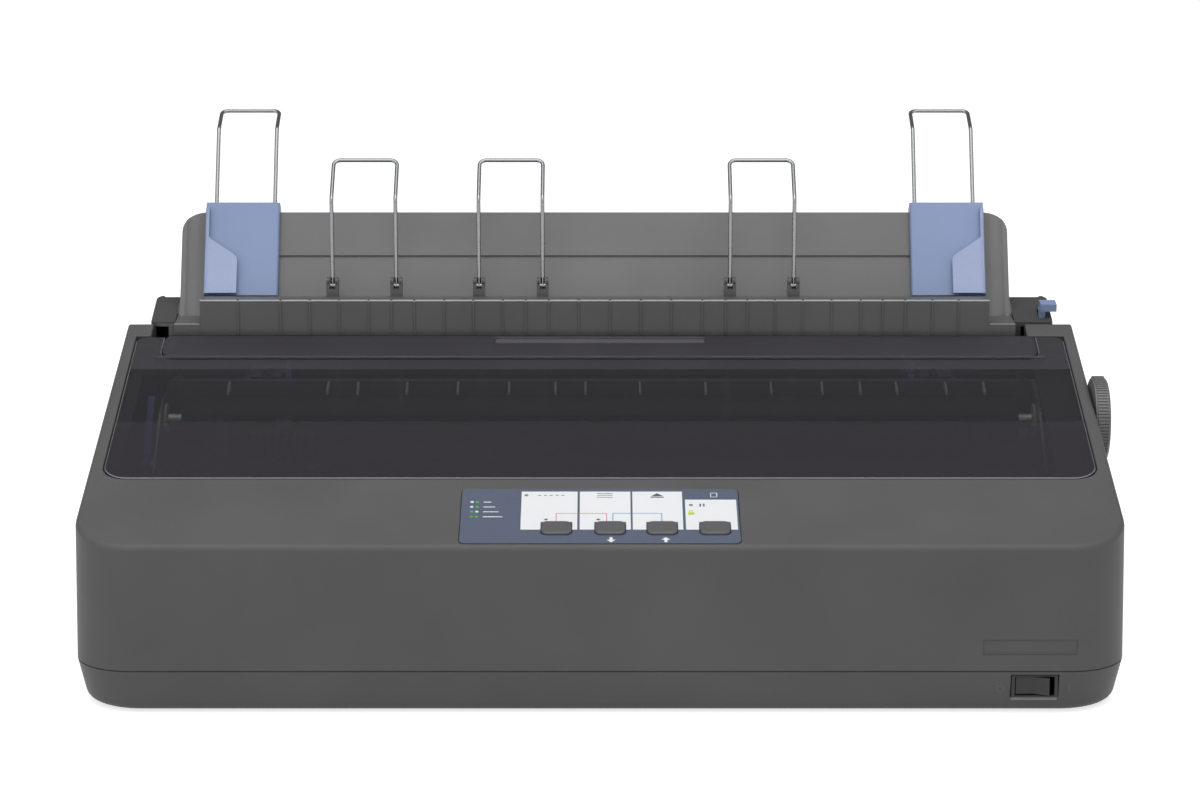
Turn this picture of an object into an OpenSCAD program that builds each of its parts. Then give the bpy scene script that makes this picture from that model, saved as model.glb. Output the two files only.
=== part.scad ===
// Wide dot matrix printer: sloped case with a smoked cover, a ribbed paper guide with wire
// supports, two blue edge guides, and the print mechanism inside.
// X runs to the right, Y to the back and Z up. Lengths are in millimetres, angles in degrees.

/* [Case] */
// Width of the case at its seam, without the knob
case_w = 539; // [470:1:650]
// Depth of the case
case_d = 275; // [262:1:335]
// Height of the front edge, where the top begins to slope
ridge_h = 89; // [80:0.5:112]
// Slope of the top
slope = 14.8; // [13.5:0.1:16.5]
// Lean of the walls above the seam
draft = 0.9; // [0.3:0.1:1.4]
// Height of the seam between lower and upper case
seam_h = 23.2; // [20:0.2:29]
// Wall of the case
wall = 2.5; // [2:0.1:3.2]
// Radius of the front corners, seen from above
corner_r = 30; // [20:1:36]
// Lean of the lower case's walls below the seam
tray_lean = 11; // [5:1:14]
// Gap round covers, panels and buttons
gap = 0.4; // [0.3:0.05:0.6]
// Radial clearance of pins and shafts in their bores
fit = 0.07; // [0.03:0.01:0.1]

/* [Cover] */
// Distance from the front face to the cover
cover_front = 68; // [64:1:80]
// Distance from the cover's rear edge to the rear of the case
cover_back = 51; // [51:1:58]
// Width of the rim left and right of the cover
rim_w = 9; // [8:0.5:13]
// Thickness of the cover
cover_t = 2.6; // [2:0.1:3]
// Depth of the hinged flap at the back of the cover
flap_d = 25; // [20:0.5:30]
// Thickness of the flap
flap_t = 3.2; // [2.6:0.1:3.6]

/* [Panel and switch] */
// Width of the control panel
panel_w = 142.6; // [136:0.2:170]
// Depth of the control panel along the slope
panel_l = 55; // [48:0.5:58]
// Width of a button
button_w = 15.4; // [12:0.1:18]
// Depth of a button
button_l = 12.6; // [10:0.1:17]
// Travel of a button
button_travel = 1.2; // [0.6:0.1:1.3]
// Width of the power rocker
rocker_w = 20; // [16:0.5:24]
// Height of the power rocker
rocker_h = 10; // [8:0.2:11]

/* [Paper path] */
// Radius of the platen
platen_r = 12.5; // [11:0.1:13]
// Radius of the knob
knob_r = 24; // [20:0.5:26]
// Width of the knob's rim
knob_w = 8.2; // [7:0.2:14]
// Height of the ribbed wall of the paper guide
ribbed_h = 20.6; // [16:0.2:26]
// Lean of the back plate
lean = 28; // [22:1:32]
// Length of the back plate, along its lean
plate_l = 66; // [58:1:76]
// Width of a blue edge guide
edge_w = 42; // [36:1:50]
// Diameter of the wire supports
wire_d = 2.3; // [1.8:0.1:2.6]
// Width of a wire support, between the middles of its legs
wire_w = 36; // [31:0.5:42]

/* [Mechanism] */
// Half width of the print carriage
carriage_hw = 23; // [18:0.5:28]
// Radius of the carriage rod
rod_r = 5; // [4:0.1:6]
// Width of a sprocket tractor
tractor_w = 20; // [16:0.5:24]
// Radius of a tractor's round ends
tractor_r = 12; // [10:0.2:13]
// Thickness of the steel frames
steel_t = 1.5; // [1.2:0.1:2]

/* [Hidden] */

$fn = 48;
eps = 0.01;
// Longer than anything here, for cuts that go right through
far = 800;

// Stations across the case, from its middle plane
half_w = case_w / 2;
cover_hw = half_w - rim_w;
frame_in = half_w - 31.5;
platen_hw = frame_in - 10;
rear_left = half_w - 14.9;
rear_right = half_w - 12.8;
guide_cx = -3;
guide_hw = half_w - 32.3;
ribbed_hw = half_w - 47.2;
plate_hw = half_w - 33.2;

// Stations from front to back
foot_h = 1.2;
tray_t = 2.5;
arm_end = case_d - 33;
cover_rear = case_d - cover_back;
panel_front = 4;
platen_y = cover_rear - 59;
platen_z = ridge_h + platen_y * tan(slope) - platen_r - 5.1;
ribbed_y = cover_rear + 6;
ribbed_z = ridge_h + ribbed_y * tan(slope) - 2;
ledge_d = 10.4;
pivot_y = ribbed_y + 26;
pivot_z = ribbed_z + 3.3;
pivot_r = 3;
plate_y = ribbed_y + 20;
plate_z = ribbed_z + 5.1;

// The whole model is moved so that its box stands centred on the origin
knob_x0 = half_w - 0.6;
knob_end = knob_x0 + knob_w;
wire_back = plate_y + 73;
frame_x = (half_w - knob_end) / 2;
frame_y = -wire_back / 2;

// Height of the top plane at a distance from the front
function top_z(y) = ridge_h + y * tan(slope);
// How far the walls lean in at a height above the seam
function wall_in(z) = (z - seam_h) * tan(draft);
// Distance up the slope for a distance from the front
function up(y) = y / cos(slope);

// Stations on the slope, measured up it from the ridge
panel_u = up(panel_front);
cover_u0 = up(cover_front) + gap;
cover_u1 = up(cover_rear);
flap_u0 = cover_u1 - flap_d;
hinge_u = cover_u1 - 6;
hinge_n = -3.4;
hinge_barrel_r = 3;
hinge_pin_r = 1.9;
flap_pin_r = 1.2;

// Places of the buttons, the wire supports and the clips that hold them
BUTTON_X = [-22.2, 5.2, 31.7, 58.6];
button_u = up(panel_front + 8);
button_rise = 1.5;
OUTPUT_X = [-133.2, -50.4, 91.5];
// Ribs on the front of the paper guide, and those on the bar under the cover
GUIDE_RIB_X = [-203.8, -179.8, -163.4, -146.9, -130.2, -117.4, -104.5, -87.7, -71.3, -54.7, -41.8,
               -28.8, -11.9, 5.7, 23, 40.2, 57.5, 70.6, 83, 98.5, 114.2, 130.3, 146.8, 159.1, 171.8,
               187.1, 201.9];
RIB_X = [-204, -149.5, -133, -106, -78, -50, -24.5, -8, 22, 58, 94, 122, 143, 163, 190, 211];

// Gear train in one line from the platen to the tractor shaft
gear_r = 11;
gear_gap = 0.3;
gear_w = 6;
tractor_y = platen_y + 57;
tractor_z = platen_z - 3;
rod_y = tractor_y + 21;
idler_r = (tractor_y - platen_y) / 2 - gear_r;
idler_y = (platen_y + tractor_y) / 2;
idler_z = (platen_z + tractor_z) / 2;
pinion_r = 5;
pinion_z = idler_z - idler_r - pinion_r;
motor_r = 18;
shaft_r = 4;

// Print mechanism, measured from the platen's axis
rod_line_y = platen_y - 53;
rod_line_z = platen_z - 39;
belt_y = platen_y - 32;
belt_z = platen_z - 47;
pulley_x = frame_in - 18;
pulley_r = 6;
belt_t = 1.2;
carriage_x = -platen_hw + carriage_hw + 34;
base_z = seam_h + 2;
base_front = 60;
base_back = tractor_y + 2;

// Shafts that lie along X, from x0 to x1
module axle(r, x0, x1, y, z) {
    translate([x0, y, z]) rotate([0, 90, 0]) cylinder(r = r, h = x1 - x0);
}

// A block from its lowest to its highest corner
module block(low, high) {
    translate(low) cube(high - low);
}

// Puts children into the frame of the sloped top: X across, Y up the slope, Z square to it
module on_slope() {
    translate([0, 0, ridge_h]) rotate([slope, 0, 0]) children();
}

// Puts children into the frame of the back plate: Y square to it, Z up along it
module on_plate() {
    translate([guide_cx, plate_y, plate_z]) rotate([-lean, 0, 0]) children();
}

// Moves a finished piece so that the whole model's box stands centred on the origin
module in_place() {
    translate([frame_x, frame_y, 0]) children();
}

// Rectangle with its four corners rounded, two radii: front and back
module rounded(x0, y0, x1, y1, r_front, r_back) {
    difference() {
        translate([x0, y0]) square([x1 - x0, y1 - y0]);
        for (side = [0, 1], back = [0, 1]) {
            r = back == 1 ? r_back : r_front;
            cx = side == 1 ? x1 - r : x0 + r;
            cy = back == 1 ? y1 - r : y0 + r;
            difference() {
                translate([side == 1 ? cx : cx - r - 1, back == 1 ? cy : cy - r - 1])
                    square(r + 1);
                translate([cx, cy]) circle(r);
            }
        }
    }
}

// A bend in round wire that starts upwards at the origin and turns towards the back
module bend(radius, angle, r) {
    translate([0, radius, 0]) rotate([90, 0, -90])
        rotate_extrude(angle = angle) translate([radius, 0]) circle(r, $fn = 24);
}

// Wire support: two legs, a bend backwards, and a loop with round corners that closes the tip
module wire_support(w, leg, angle, tip, r, kink_r, corner_radius) {
    for (side = [-1, 1]) translate([side * w / 2, 0, 0]) {
        cylinder(r = r, h = leg, $fn = 24);
        translate([0, 0, leg]) bend(kink_r, angle, r);
    }
    translate([0, kink_r * (1 - cos(angle)), leg + kink_r * sin(angle)]) rotate([-angle, 0, 0]) {
        for (side = [-1, 1]) translate([side * w / 2, 0, 0]) {
            // The ball closes the joint between the bend and the straight tip
            sphere(r + 0.06, $fn = 24);
            cylinder(r = r, h = tip - corner_radius, $fn = 24);
            translate([0, 0, tip - corner_radius]) rotate([0, 0, side * 90])
                bend(corner_radius, 90, r);
        }
        translate([-w / 2 + corner_radius, 0, tip]) rotate([0, 90, 0])
            cylinder(r = r, h = w - 2 * corner_radius, $fn = 24);
    }
}

// Solid outline of the case above the seam, drawn in by an inset all round
module upper_solid(inset, y1) {
    hw = half_w - inset;
    top = top_z(y1);
    front = inset + wall_in(ridge_h);
    intersection() {
        translate([0, 0, seam_h])
            linear_extrude(far)
                rounded(-hw, inset, hw, case_d + corner_r, corner_r - inset, 1);
        rotate([90, 0, 0]) translate([0, 0, -y1]) linear_extrude(far)
            polygon([[-hw, seam_h - 1], [hw, seam_h - 1],
                     [hw - wall_in(top), top], [-hw + wall_in(top), top]]);
        rotate([90, 0, 90]) translate([0, 0, -hw]) linear_extrude(2 * hw)
            polygon([[inset, seam_h - 1], [y1, seam_h - 1], [y1, top - inset / cos(slope)],
                     [front, top_z(front) - inset / cos(slope)]]);
    }
}

// A slab that follows the slope: from u0 to u1 up it, between two depths below it
module slope_slab(x0, x1, u0, u1, depth_0, depth_1, r_front, r_back) {
    on_slope() translate([0, 0, -depth_1]) linear_extrude(depth_1 - depth_0)
        rounded(x0, u0, x1, u1, r_front, r_back);
}

// Plan of the tray: full width up to the arms' end, narrower behind it
module tray_plan(inset) {
    rounded(-half_w + inset, inset, half_w - inset, arm_end - inset, corner_r - inset, 4);
    translate([-rear_left + inset, corner_r + 10])
        square([rear_left + rear_right - 2 * inset, case_d - inset - corner_r - 10]);
}

// Solid outline of the lower case, whose walls lean in towards the floor
module tray_solid(inset, z0) {
    lean_in = (seam_h - foot_h) * tan(tray_lean);
    intersection() {
        translate([0, 0, z0]) linear_extrude(seam_h - z0) tray_plan(inset);
        rotate([90, 0, 0]) translate([0, 0, -far / 2]) linear_extrude(far)
            polygon([[-half_w + inset, seam_h], [half_w - inset, seam_h],
                     [half_w - inset - lean_in, foot_h], [-half_w + inset + lean_in, foot_h]]);
        rotate([90, 0, 90]) translate([0, 0, -far / 2]) linear_extrude(far)
            polygon([[inset, seam_h], [case_d - inset, seam_h],
                     [case_d - inset - lean_in / 2, foot_h], [inset + lean_in, foot_h]]);
    }
}

// Places of the four case screws and of the four feet
SCREW_XY = [for (x = [-1, 1], y = [42, arm_end - 14]) [x * (half_w - 10), y]];
FOOT_XY = [for (x = [-1, 1], y = [34, case_d - 34]) [x * (half_w - 45), y]];
screw_r = 2;
boss_r = 5;
// Standoffs under the base frame, the boards and the power supply
BASE_XY = [for (x = [-1, -1 / 3, 1 / 3, 1], y = [base_front + 10, base_back - 10])
           [x * (frame_in - 14), y]];
board_z = 11;
board_t = 1.6;
// Board with the interface ports, at the rear
board_x0 = -40;
board_x1 = 150;
board_y0 = case_d - 125;
board_y1 = case_d - 12;
BOARD_XY = [for (x = [board_x0 + 8, board_x1 - 8], y = [board_y0 + 8, board_y1 - 18]) [x, y]];
supply_x0 = -half_w + 59.5;
supply_x1 = supply_x0 + 120;
supply_y0 = case_d - 190;
supply_y1 = case_d - 60;
SUPPLY_XY = [for (x = [supply_x0 + 8, supply_x1 - 8], y = [supply_y0 + 8, supply_y1 - 8]) [x, y]];
// Interface ports: the wide parallel one and the small serial one
parallel_x = 100;
parallel_w = 72;
parallel_h = 16;
serial_x = 24;
serial_w = 13;
serial_h = 11;
port_depth = 16;
// Power inlet
inlet_x = supply_x0 + 5;
inlet_z = seam_h + 16;
inlet_w = 27;
inlet_h = 20;
// Switch at the front right
switch_x = half_w - 48.2;
switch_z = seam_h - 7.8;
switch_d = 20;
bezel = 1.9;

// Bosses for the case screws, each with a rib to the side wall
module screw_bosses(z0, z1) {
    for (p = SCREW_XY) {
        translate([p[0], p[1], z0]) cylinder(r = boss_r, h = z1 - z0);
        block([min(p[0], sign(p[0]) * half_w), p[1] - 1.2, z0],
              [max(p[0], sign(p[0]) * half_w), p[1] + 1.2, z1]);
    }
}

module port_cuts(extra) {
    z0 = board_z + board_t - extra;
    for (p = [[parallel_x, parallel_w, parallel_h], [serial_x, serial_w, serial_h]])
        block([p[0] - p[1] / 2 - extra, case_d - 12, z0],
              [p[0] + p[1] / 2 + extra, case_d + 5, z0 + p[2] + 2 * extra]);
}

module lower_case() {
    color("#4b4b4b") in_place() difference() {
        union() {
            difference() {
                tray_solid(0, foot_h);
                tray_solid(wall, foot_h + tray_t);
            }
            intersection() {
                tray_solid(0, foot_h);
                screw_bosses(foot_h, seam_h);
            }
            for (p = concat(BOARD_XY, SUPPLY_XY))
                translate([p[0], p[1], foot_h]) cylinder(r = 3, h = board_z - foot_h);
            for (p = BASE_XY)
                translate([p[0], p[1], foot_h]) cylinder(r = 4, h = base_z - foot_h);
        }
        for (p = SCREW_XY) {
            translate([p[0], p[1], -1]) cylinder(r = screw_r + 0.25, h = seam_h + 2);
            translate([p[0], p[1], -1]) cylinder(r = 2 * screw_r + 0.25, h = foot_h + 7);
        }
        for (p = FOOT_XY)
            translate([p[0], p[1], -1]) cylinder(r = 9.1, h = foot_h + 2);
        block([switch_x - rocker_w / 2 - bezel - gap, -5, switch_z - rocker_h / 2 - bezel / 2 - gap],
              [switch_x + rocker_w / 2 + bezel + gap, 20, switch_z + rocker_h / 2 + bezel / 2 + gap]);
        port_cuts(gap);
    }
}

// Ledge that carries the cover: a slab under the recess, open in the middle
ledge_x0 = -cover_hw + 7.7;
ledge_x1 = cover_hw - 20;
ledge_depth = cover_t + 0.3;
ledge_t = 2.2;

module upper_case() {
    recess_hw = cover_hw + gap;
    arm_left = guide_hw + 3.5 - guide_cx;
    arm_right = guide_hw + 3.5 + guide_cx;
    color("#606060") in_place() difference() {
        difference() {
            upper_solid(0, arm_end);
            difference() {
                upper_solid(wall, arm_end - wall);
                // The ledge and the lugs for the cover's hinge pins stay
                slope_slab(-half_w, half_w, cover_u0 - 8, cover_u1 + 2,
                           wall, ledge_depth + ledge_t, 1, 1);
                for (side = [-1, 1]) on_slope() translate([side * (cover_hw + gap + 2.6), 0, 0])
                    block([-2.6, hinge_u - 6, -8], [2.6, hinge_u + 7, 0]);
                screw_bosses(seam_h - 1, seam_h + 26);
            }
        }
        // Recess for the cover and the opening inside its ledge
        slope_slab(-recess_hw, recess_hw, cover_u0 - gap, cover_u1 + 1.8, -1, ledge_depth, 13, 6);
        slope_slab(ledge_x0, ledge_x1, cover_u0 + 8, cover_u1 + 60, -1, 40, 6, 1);
        // Pockets where the cover's hinge barrels turn
        for (side = [0, 1]) on_slope() mirror([side, 0, 0])
            block([cover_hw - 21, hinge_u - 8.5, -12], [cover_hw + gap, hinge_u + 8, 1]);
        // Open back between the arms
        block([-arm_left, cover_rear + 1, seam_h - 1], [arm_right, arm_end + 1, far]);
        block([-rear_left + wall, arm_end - wall - 1, seam_h - 1],
              [rear_right - wall, arm_end + 1, top_z(arm_end) - 20]);
        // Bores for the hinge pins
        on_slope() for (side = [-1, 1])
            axle(hinge_pin_r + fit, side * (cover_hw + gap + 2) - 3, side * (cover_hw + gap + 2) + 3,
                 hinge_u, hinge_n);
        // Hole for the knob's shaft
        axle(8, half_w - 20, half_w + 5, platen_y, platen_z);
        // Panel recess and the holes for the buttons
        slope_slab(-panel_w / 2 - gap / 2, panel_w / 2 + gap / 2, panel_u - gap / 2,
                   panel_u + panel_l + gap / 2, -1, 1, 3, 3);
        on_slope() for (x = BUTTON_X)
            block([x - button_w / 2 - gap, button_u - gap, -5],
                  [x + button_w / 2 + gap, button_u + button_l + gap, 1]);
        // Shallow plate recess at the front, left bare
        block([half_w - 75, -1, seam_h + 8.4], [half_w - 27, 0.6, seam_h + 16.3]);
        // Holes for the case screws
        for (p = SCREW_XY) translate([p[0], p[1], seam_h - 1]) cylinder(r = screw_r + 0.05, h = 20);
    }
}

// Towers left and right of the paper guide carry its pivots
tower_z = pivot_z - 15;
tower_t = 3.6;
tower_left = guide_hw + 0.8 - guide_cx;
tower_right = guide_hw + 0.8 + guide_cx;
back_wall_z = pivot_z - 13;

// Solid outline of the rear case, below the slope
module rear_solid(inset, y0, z0) {
    intersection() {
        translate([0, 0, z0]) linear_extrude(far)
            rounded(-rear_left + inset, y0, rear_right - inset, case_d - inset,
                    1, 5 - inset);
        rotate([90, 0, 90]) translate([0, 0, -far / 2]) linear_extrude(far)
            polygon([[arm_end - 5, 0], [case_d + 5, 0], [case_d + 5, top_z(case_d + 5) - inset],
                     [arm_end - 5, top_z(arm_end - 5) - inset]]);
    }
}

module rear_case() {
    color("#424242") in_place() difference() {
        difference() {
            rear_solid(0, arm_end + gap, seam_h);
            difference() {
                rear_solid(wall, arm_end - 3, seam_h - 1);
                // Inner walls and floors of the towers
                block([-tower_left - tower_t, arm_end, tower_z], [-tower_left, case_d, far]);
                block([tower_right, arm_end, tower_z], [tower_right + tower_t, case_d, far]);
                block([-rear_left, arm_end, tower_z], [-tower_left, case_d, tower_z + wall]);
                block([tower_right, arm_end, tower_z], [rear_right, case_d, tower_z + wall]);
            }
        }
        // Paper entry between the towers
        block([-tower_left, arm_end - 1, back_wall_z], [tower_right, case_d + 1, far]);
        for (side = [0, 1])
            axle(pivot_r + fit, side == 0 ? -tower_left - tower_t - 1 : tower_right - 1,
                 side == 0 ? -tower_left + 1 : tower_right + tower_t + 1, pivot_y, pivot_z);
        // Slot for the paper release lever
        block([release_x - release_stem / 2 - gap, release_y - 8, tower_z - 1],
              [release_x + release_stem / 2 + gap, release_y + 8, far]);
        port_cuts(gap);
        block([inlet_x - inlet_w / 2 - 0.2, case_d - 10, inlet_z - inlet_h / 2 - 0.2],
              [inlet_x + inlet_w / 2 + 0.2, case_d + 5, inlet_z + inlet_h / 2 + 0.2]);
    }
}

// Paper release lever, in the right tower
release_w = 9.2;
release_stem = 3.6;
release_x = rear_right - wall - release_stem / 2 - gap - 0.6;
release_y = arm_end + 13;
// The pad reaches past the side of the case
release_over = 2.6;
release_z = tower_z - 22;
release_r = 2;

module rubber_feet() {
    color("#222222") in_place()
        for (p = FOOT_XY) translate([p[0], p[1], 0]) cylinder(r = 9, h = foot_h + 1);
}

module case_screws() {
    color("#8a8a8a") in_place() for (p = SCREW_XY) translate([p[0], p[1], foot_h + 6]) {
        translate([0, 0, -2.4]) difference() {
            cylinder(r = 2 * screw_r, h = 2.4);
            translate([0, 0, -1]) cylinder(r = 1.6, h = 2.4, $fn = 6);
        }
        translate([0, 0, -eps]) cylinder(r = screw_r - 0.05, h = seam_h - foot_h + 4);
    }
}

// Smoked cover: a slab with an open place for the flap and two arms with hinge barrels
module main_cover() {
    flap_hw = cover_hw - 16;
    color("#37353b") in_place() on_slope() difference() {
        union() {
            difference() {
                translate([0, 0, -cover_t + 0.3]) linear_extrude(cover_t)
                    rounded(-cover_hw, cover_u0, cover_hw, cover_u1, 13, 6);
                block([-flap_hw, flap_u0 - flap_t / 2 - gap, -5], [flap_hw, cover_u1 + 5, 5]);
            }
            // Folded rim under the front edge
            block([-cover_hw + 13, cover_u0 + 8.5, -4.5], [cover_hw - 24, cover_u0 + 10, -1]);
            for (side = [-1, 1]) {
                axle(hinge_barrel_r, side * (cover_hw - 5.6) - 5, side * (cover_hw - 5.6) + 5,
                     hinge_u, hinge_n);
                axle(hinge_pin_r, side * (cover_hw - 2) - 5.8, side * (cover_hw - 2) + 5.8,
                     hinge_u, hinge_n);
                // Web between the barrel and the slab
                block([side * (cover_hw - 5.6) - 5, hinge_u - hinge_barrel_r, hinge_n],
                      [side * (cover_hw - 5.6) + 5, hinge_u + hinge_barrel_r, -1]);
                // Boss for the flap's pin
                axle(flap_t / 2 + 0.9, side * (flap_hw + 2.6) - 2.6, side * (flap_hw + 2.6) + 2.6,
                     flap_u0, 0);
            }
        }
        axle(flap_pin_r + fit, -flap_hw - 4.2, flap_hw + 4.2, flap_u0, 0);
    }
}

// Smoked flap with a finger tab, hinged at its front edge
module cover_flap() {
    flap_hw = cover_hw - 16 - gap;
    color("#3c3a40") in_place() on_slope() union() {
        difference() {
            translate([0, 0, -flap_t / 2]) linear_extrude(flap_t)
                rounded(-flap_hw, flap_u0, flap_hw, cover_u1, 0.5, 6);
            // Finger hollow in the rear edge
            block([-58.5, cover_u1 - 9, flap_t / 2 - 0.8], [58.5, cover_u1 - 4, flap_t]);
        }
        axle(flap_t / 2, -flap_hw, flap_hw, flap_u0, 0);
        axle(flap_pin_r, -flap_hw - 3.6, flap_hw + 3.6, flap_u0, 0);
    }
}

module control_panel() {
    color("#5f6677") in_place() difference() {
        slope_slab(-panel_w / 2, panel_w / 2, panel_u, panel_u + panel_l, -0.2, 1, 3, 3);
        on_slope() for (x = BUTTON_X)
            block([x - button_w / 2 - gap, button_u - gap, -5],
                  [x + button_w / 2 + gap, button_u + button_l + gap, 2]);
    }
}

// Board with the button switches, on two blocks under the deck
panel_board_n = -9.5;
module panel_board() {
    color("#2f6b45") in_place() on_slope() union() {
        block([-panel_w / 2 - 8, button_u - 3, panel_board_n],
              [panel_w / 2 + 8, button_u + button_l + 6, panel_board_n + 1.6]);
        for (x = [-panel_w / 2 - 4, panel_w / 2 + 4])
            block([x - 4, button_u, panel_board_n], [x + 4, button_u + button_l, -wall]);
    }
}

module button(x) {
    color("#3d3d42") in_place() on_slope() union() {
        translate([0, 0, -3]) linear_extrude(3 + button_rise)
            rounded(x - button_w / 2, button_u, x + button_w / 2, button_u + button_l, 3, 3);
        // Collar that holds the button under the deck
        block([x - button_w / 2 - 1.2, button_u - 1.2, -4.2],
              [x + button_w / 2 + 1.2, button_u + button_l + 1.2, -wall - 0.3]);
        block([x - 2, button_u + button_l / 2 - 2, panel_board_n + 1.6 + button_travel + 0.3],
              [x + 2, button_u + button_l / 2 + 2, -4]);
    }
}
module button_1() { button(BUTTON_X[0]); }
module button_2() { button(BUTTON_X[1]); }
module button_3() { button(BUTTON_X[2]); }
module button_4() { button(BUTTON_X[3]); }

// Housing of the power switch, set into the front of the tray
rocker_turn = 9;
rocker_y = 8;
module switch_housing() {
    hw = rocker_w / 2;
    hh = rocker_h / 2;
    color("#333333") in_place() difference() {
        block([switch_x - hw - bezel, 1, switch_z - hh - bezel / 2],
              [switch_x + hw + bezel, switch_d, switch_z + hh + bezel / 2]);
        block([switch_x - hw, 0, switch_z - hh], [switch_x + hw, switch_d - 3, switch_z + hh]);
        translate([switch_x, rocker_y, switch_z - hh - 0.7])
            cylinder(r = 1.5 + fit, h = rocker_h + 1.4);
    }
}

// Rocker that turns about an upright pin, at rest with its left end pressed in
module power_rocker() {
    hw = rocker_w / 2 - 1.4;
    hh = rocker_h / 2 - gap;
    color("#2b2b2e") in_place() translate([switch_x, rocker_y, switch_z])
        rotate([0, 0, -rocker_turn]) union() {
            translate([0, 0, -hh]) linear_extrude(2 * hh)
                polygon([[-hw, -4.6], [-hw, -7.4], [0, -5.6], [hw, -7.4], [hw, -4.6], [3, 3], [-3, 3]]);
            translate([0, 0, -rocker_h / 2 - 0.6]) cylinder(r = 1.5, h = rocker_h + 1.2);
        }
}

// Steel floor of the mechanism, with a raised rail at its front for the carriage
rail_y = platen_y - 88;
rail_z = platen_z - 34;
module base_frame() {
    color("#9aa0a4") in_place() difference() {
        union() {
            block([-frame_in, base_front, base_z], [frame_in, base_back, base_z + steel_t]);
            block([-frame_in, rail_y, base_z], [frame_in, rail_y + steel_t, rail_z]);
            block([-frame_in, rail_y, rail_z - steel_t], [frame_in, rail_y + 9, rail_z]);
            // Upright that carries the tension bar and the belt pulleys' bridge
            for (side = [-1, 1]) block([side * pulley_x - 14, belt_y - 12, base_z],
                                       [side * pulley_x + 14, belt_y + 20, base_z + steel_t]);
        }
        for (p = BASE_XY) translate([p[0], p[1], base_z - 1]) cylinder(r = 1.6, h = steel_t + 2);
    }
}

// Steel side frame with the bores for the rods, the shafts and the platen's bushes
bush_r = 7;
lever_y = platen_y - 22;
lever_z = platen_z - 20;
module side_frame(x) {
    color("#8f9599") in_place() difference() {
        translate([x, 0, 0]) rotate([90, 0, 90]) linear_extrude(steel_t) polygon([
            [rail_y, base_z], [rod_y + 9, base_z], [rod_y + 9, tractor_z + 9],
            [tractor_y - 8, tractor_z + 15], [platen_y, platen_z + 12.5],
            [platen_y - 18, platen_z + 8], [rod_line_y - 12, rod_line_z + 14],
            [rail_y, rail_z + 8]]);
        axle(bush_r, x - 1, x + steel_t + 1, platen_y, platen_z);
        axle(rod_r, x - 1, x + steel_t + 1, rod_line_y, rod_line_z);
        axle(shaft_r + fit, x - 1, x + steel_t + 1, tractor_y, tractor_z);
        axle(3, x - 1, x + steel_t + 1, rod_y, tractor_z);
        if (x > 0) axle(3.5, x - 1, x + steel_t + 1, idler_y, pinion_z);
    }
}
module side_frame_left() {
    union() {
        side_frame(-frame_in - steel_t);
        // Stub that the thickness lever turns on
        color("#8f9599") in_place()
            axle(3, lever_x0 - 1, -frame_in - steel_t, lever_y, lever_z);
    }
}
module side_frame_right() {
    union() {
        side_frame(frame_in);
        // Stub that the idler gear turns on
        color("#8f9599") in_place()
            axle(shaft_r - 1, frame_in + steel_t, frame_in + steel_t + gear_w + 2, idler_y, idler_z);
    }
}

module control_board() {
    color("#2f6b45") in_place() union() {
        difference() {
            block([board_x0, board_y0, board_z], [board_x1, board_y1, board_z + board_t]);
            // Holes round the standoffs of the steel floor
            for (p = BASE_XY) translate([p[0], p[1], 0]) cylinder(r = 5, h = base_z);
        }
        for (c = [[10, 40, 28, 28, 3], [58, 36, 20, 20, 3], [100, 30, 36, 14, 3.4], [20, 80, 14, 24, 3]])
            block([board_x0 + c[0], board_y0 + c[1], board_z + board_t],
                  [board_x0 + c[0] + c[2], board_y0 + c[1] + c[3], board_z + board_t + c[4]]);
        // Row of capacitors and the flat cable sockets
        for (k = [0:3]) translate([board_x0 + 60 + 14 * k, board_y0 + 16, board_z + board_t])
            cylinder(r = 4, h = 11);
        for (k = [0:1]) block([board_x0 + 14 + 30 * k, board_y0 + 4, board_z + board_t],
                              [board_x0 + 36 + 30 * k, board_y0 + 9, board_z + board_t + 7]);
    }
}

module interface_ports() {
    z0 = board_z + board_t;
    color("#b9bcc0") in_place()
        for (p = [[parallel_x, parallel_w, parallel_h, 2], [serial_x, serial_w, serial_h, 1.2]])
            difference() {
                block([p[0] - p[1] / 2, case_d - port_depth - 5, z0],
                      [p[0] + p[1] / 2, case_d - 0.2, z0 + p[2]]);
                block([p[0] - p[1] / 2 + p[3] * 2, case_d - port_depth + 4, z0 + p[3]],
                      [p[0] + p[1] / 2 - p[3] * 2, case_d + 1, z0 + p[2] - p[3]]);
            }
}

module power_supply() {
    color("#c9b458") in_place() union() {
        block([supply_x0, supply_y0, board_z], [supply_x1, supply_y1, board_z + board_t]);
        block([supply_x0 + 14, supply_y0 + 20, board_z + board_t],
              [supply_x0 + 50, supply_y0 + 54, base_z - 1.5]);
        block([supply_x0 + 62, supply_y0 + 14, board_z + board_t],
              [supply_x0 + 66, supply_y0 + 90, base_z - 1.5]);
        for (k = [0:2]) translate([supply_x0 + 88, supply_y0 + 24 + 20 * k, board_z + board_t])
            cylinder(r = 7, h = base_z - board_z - board_t - 1.5);
    }
}

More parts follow.
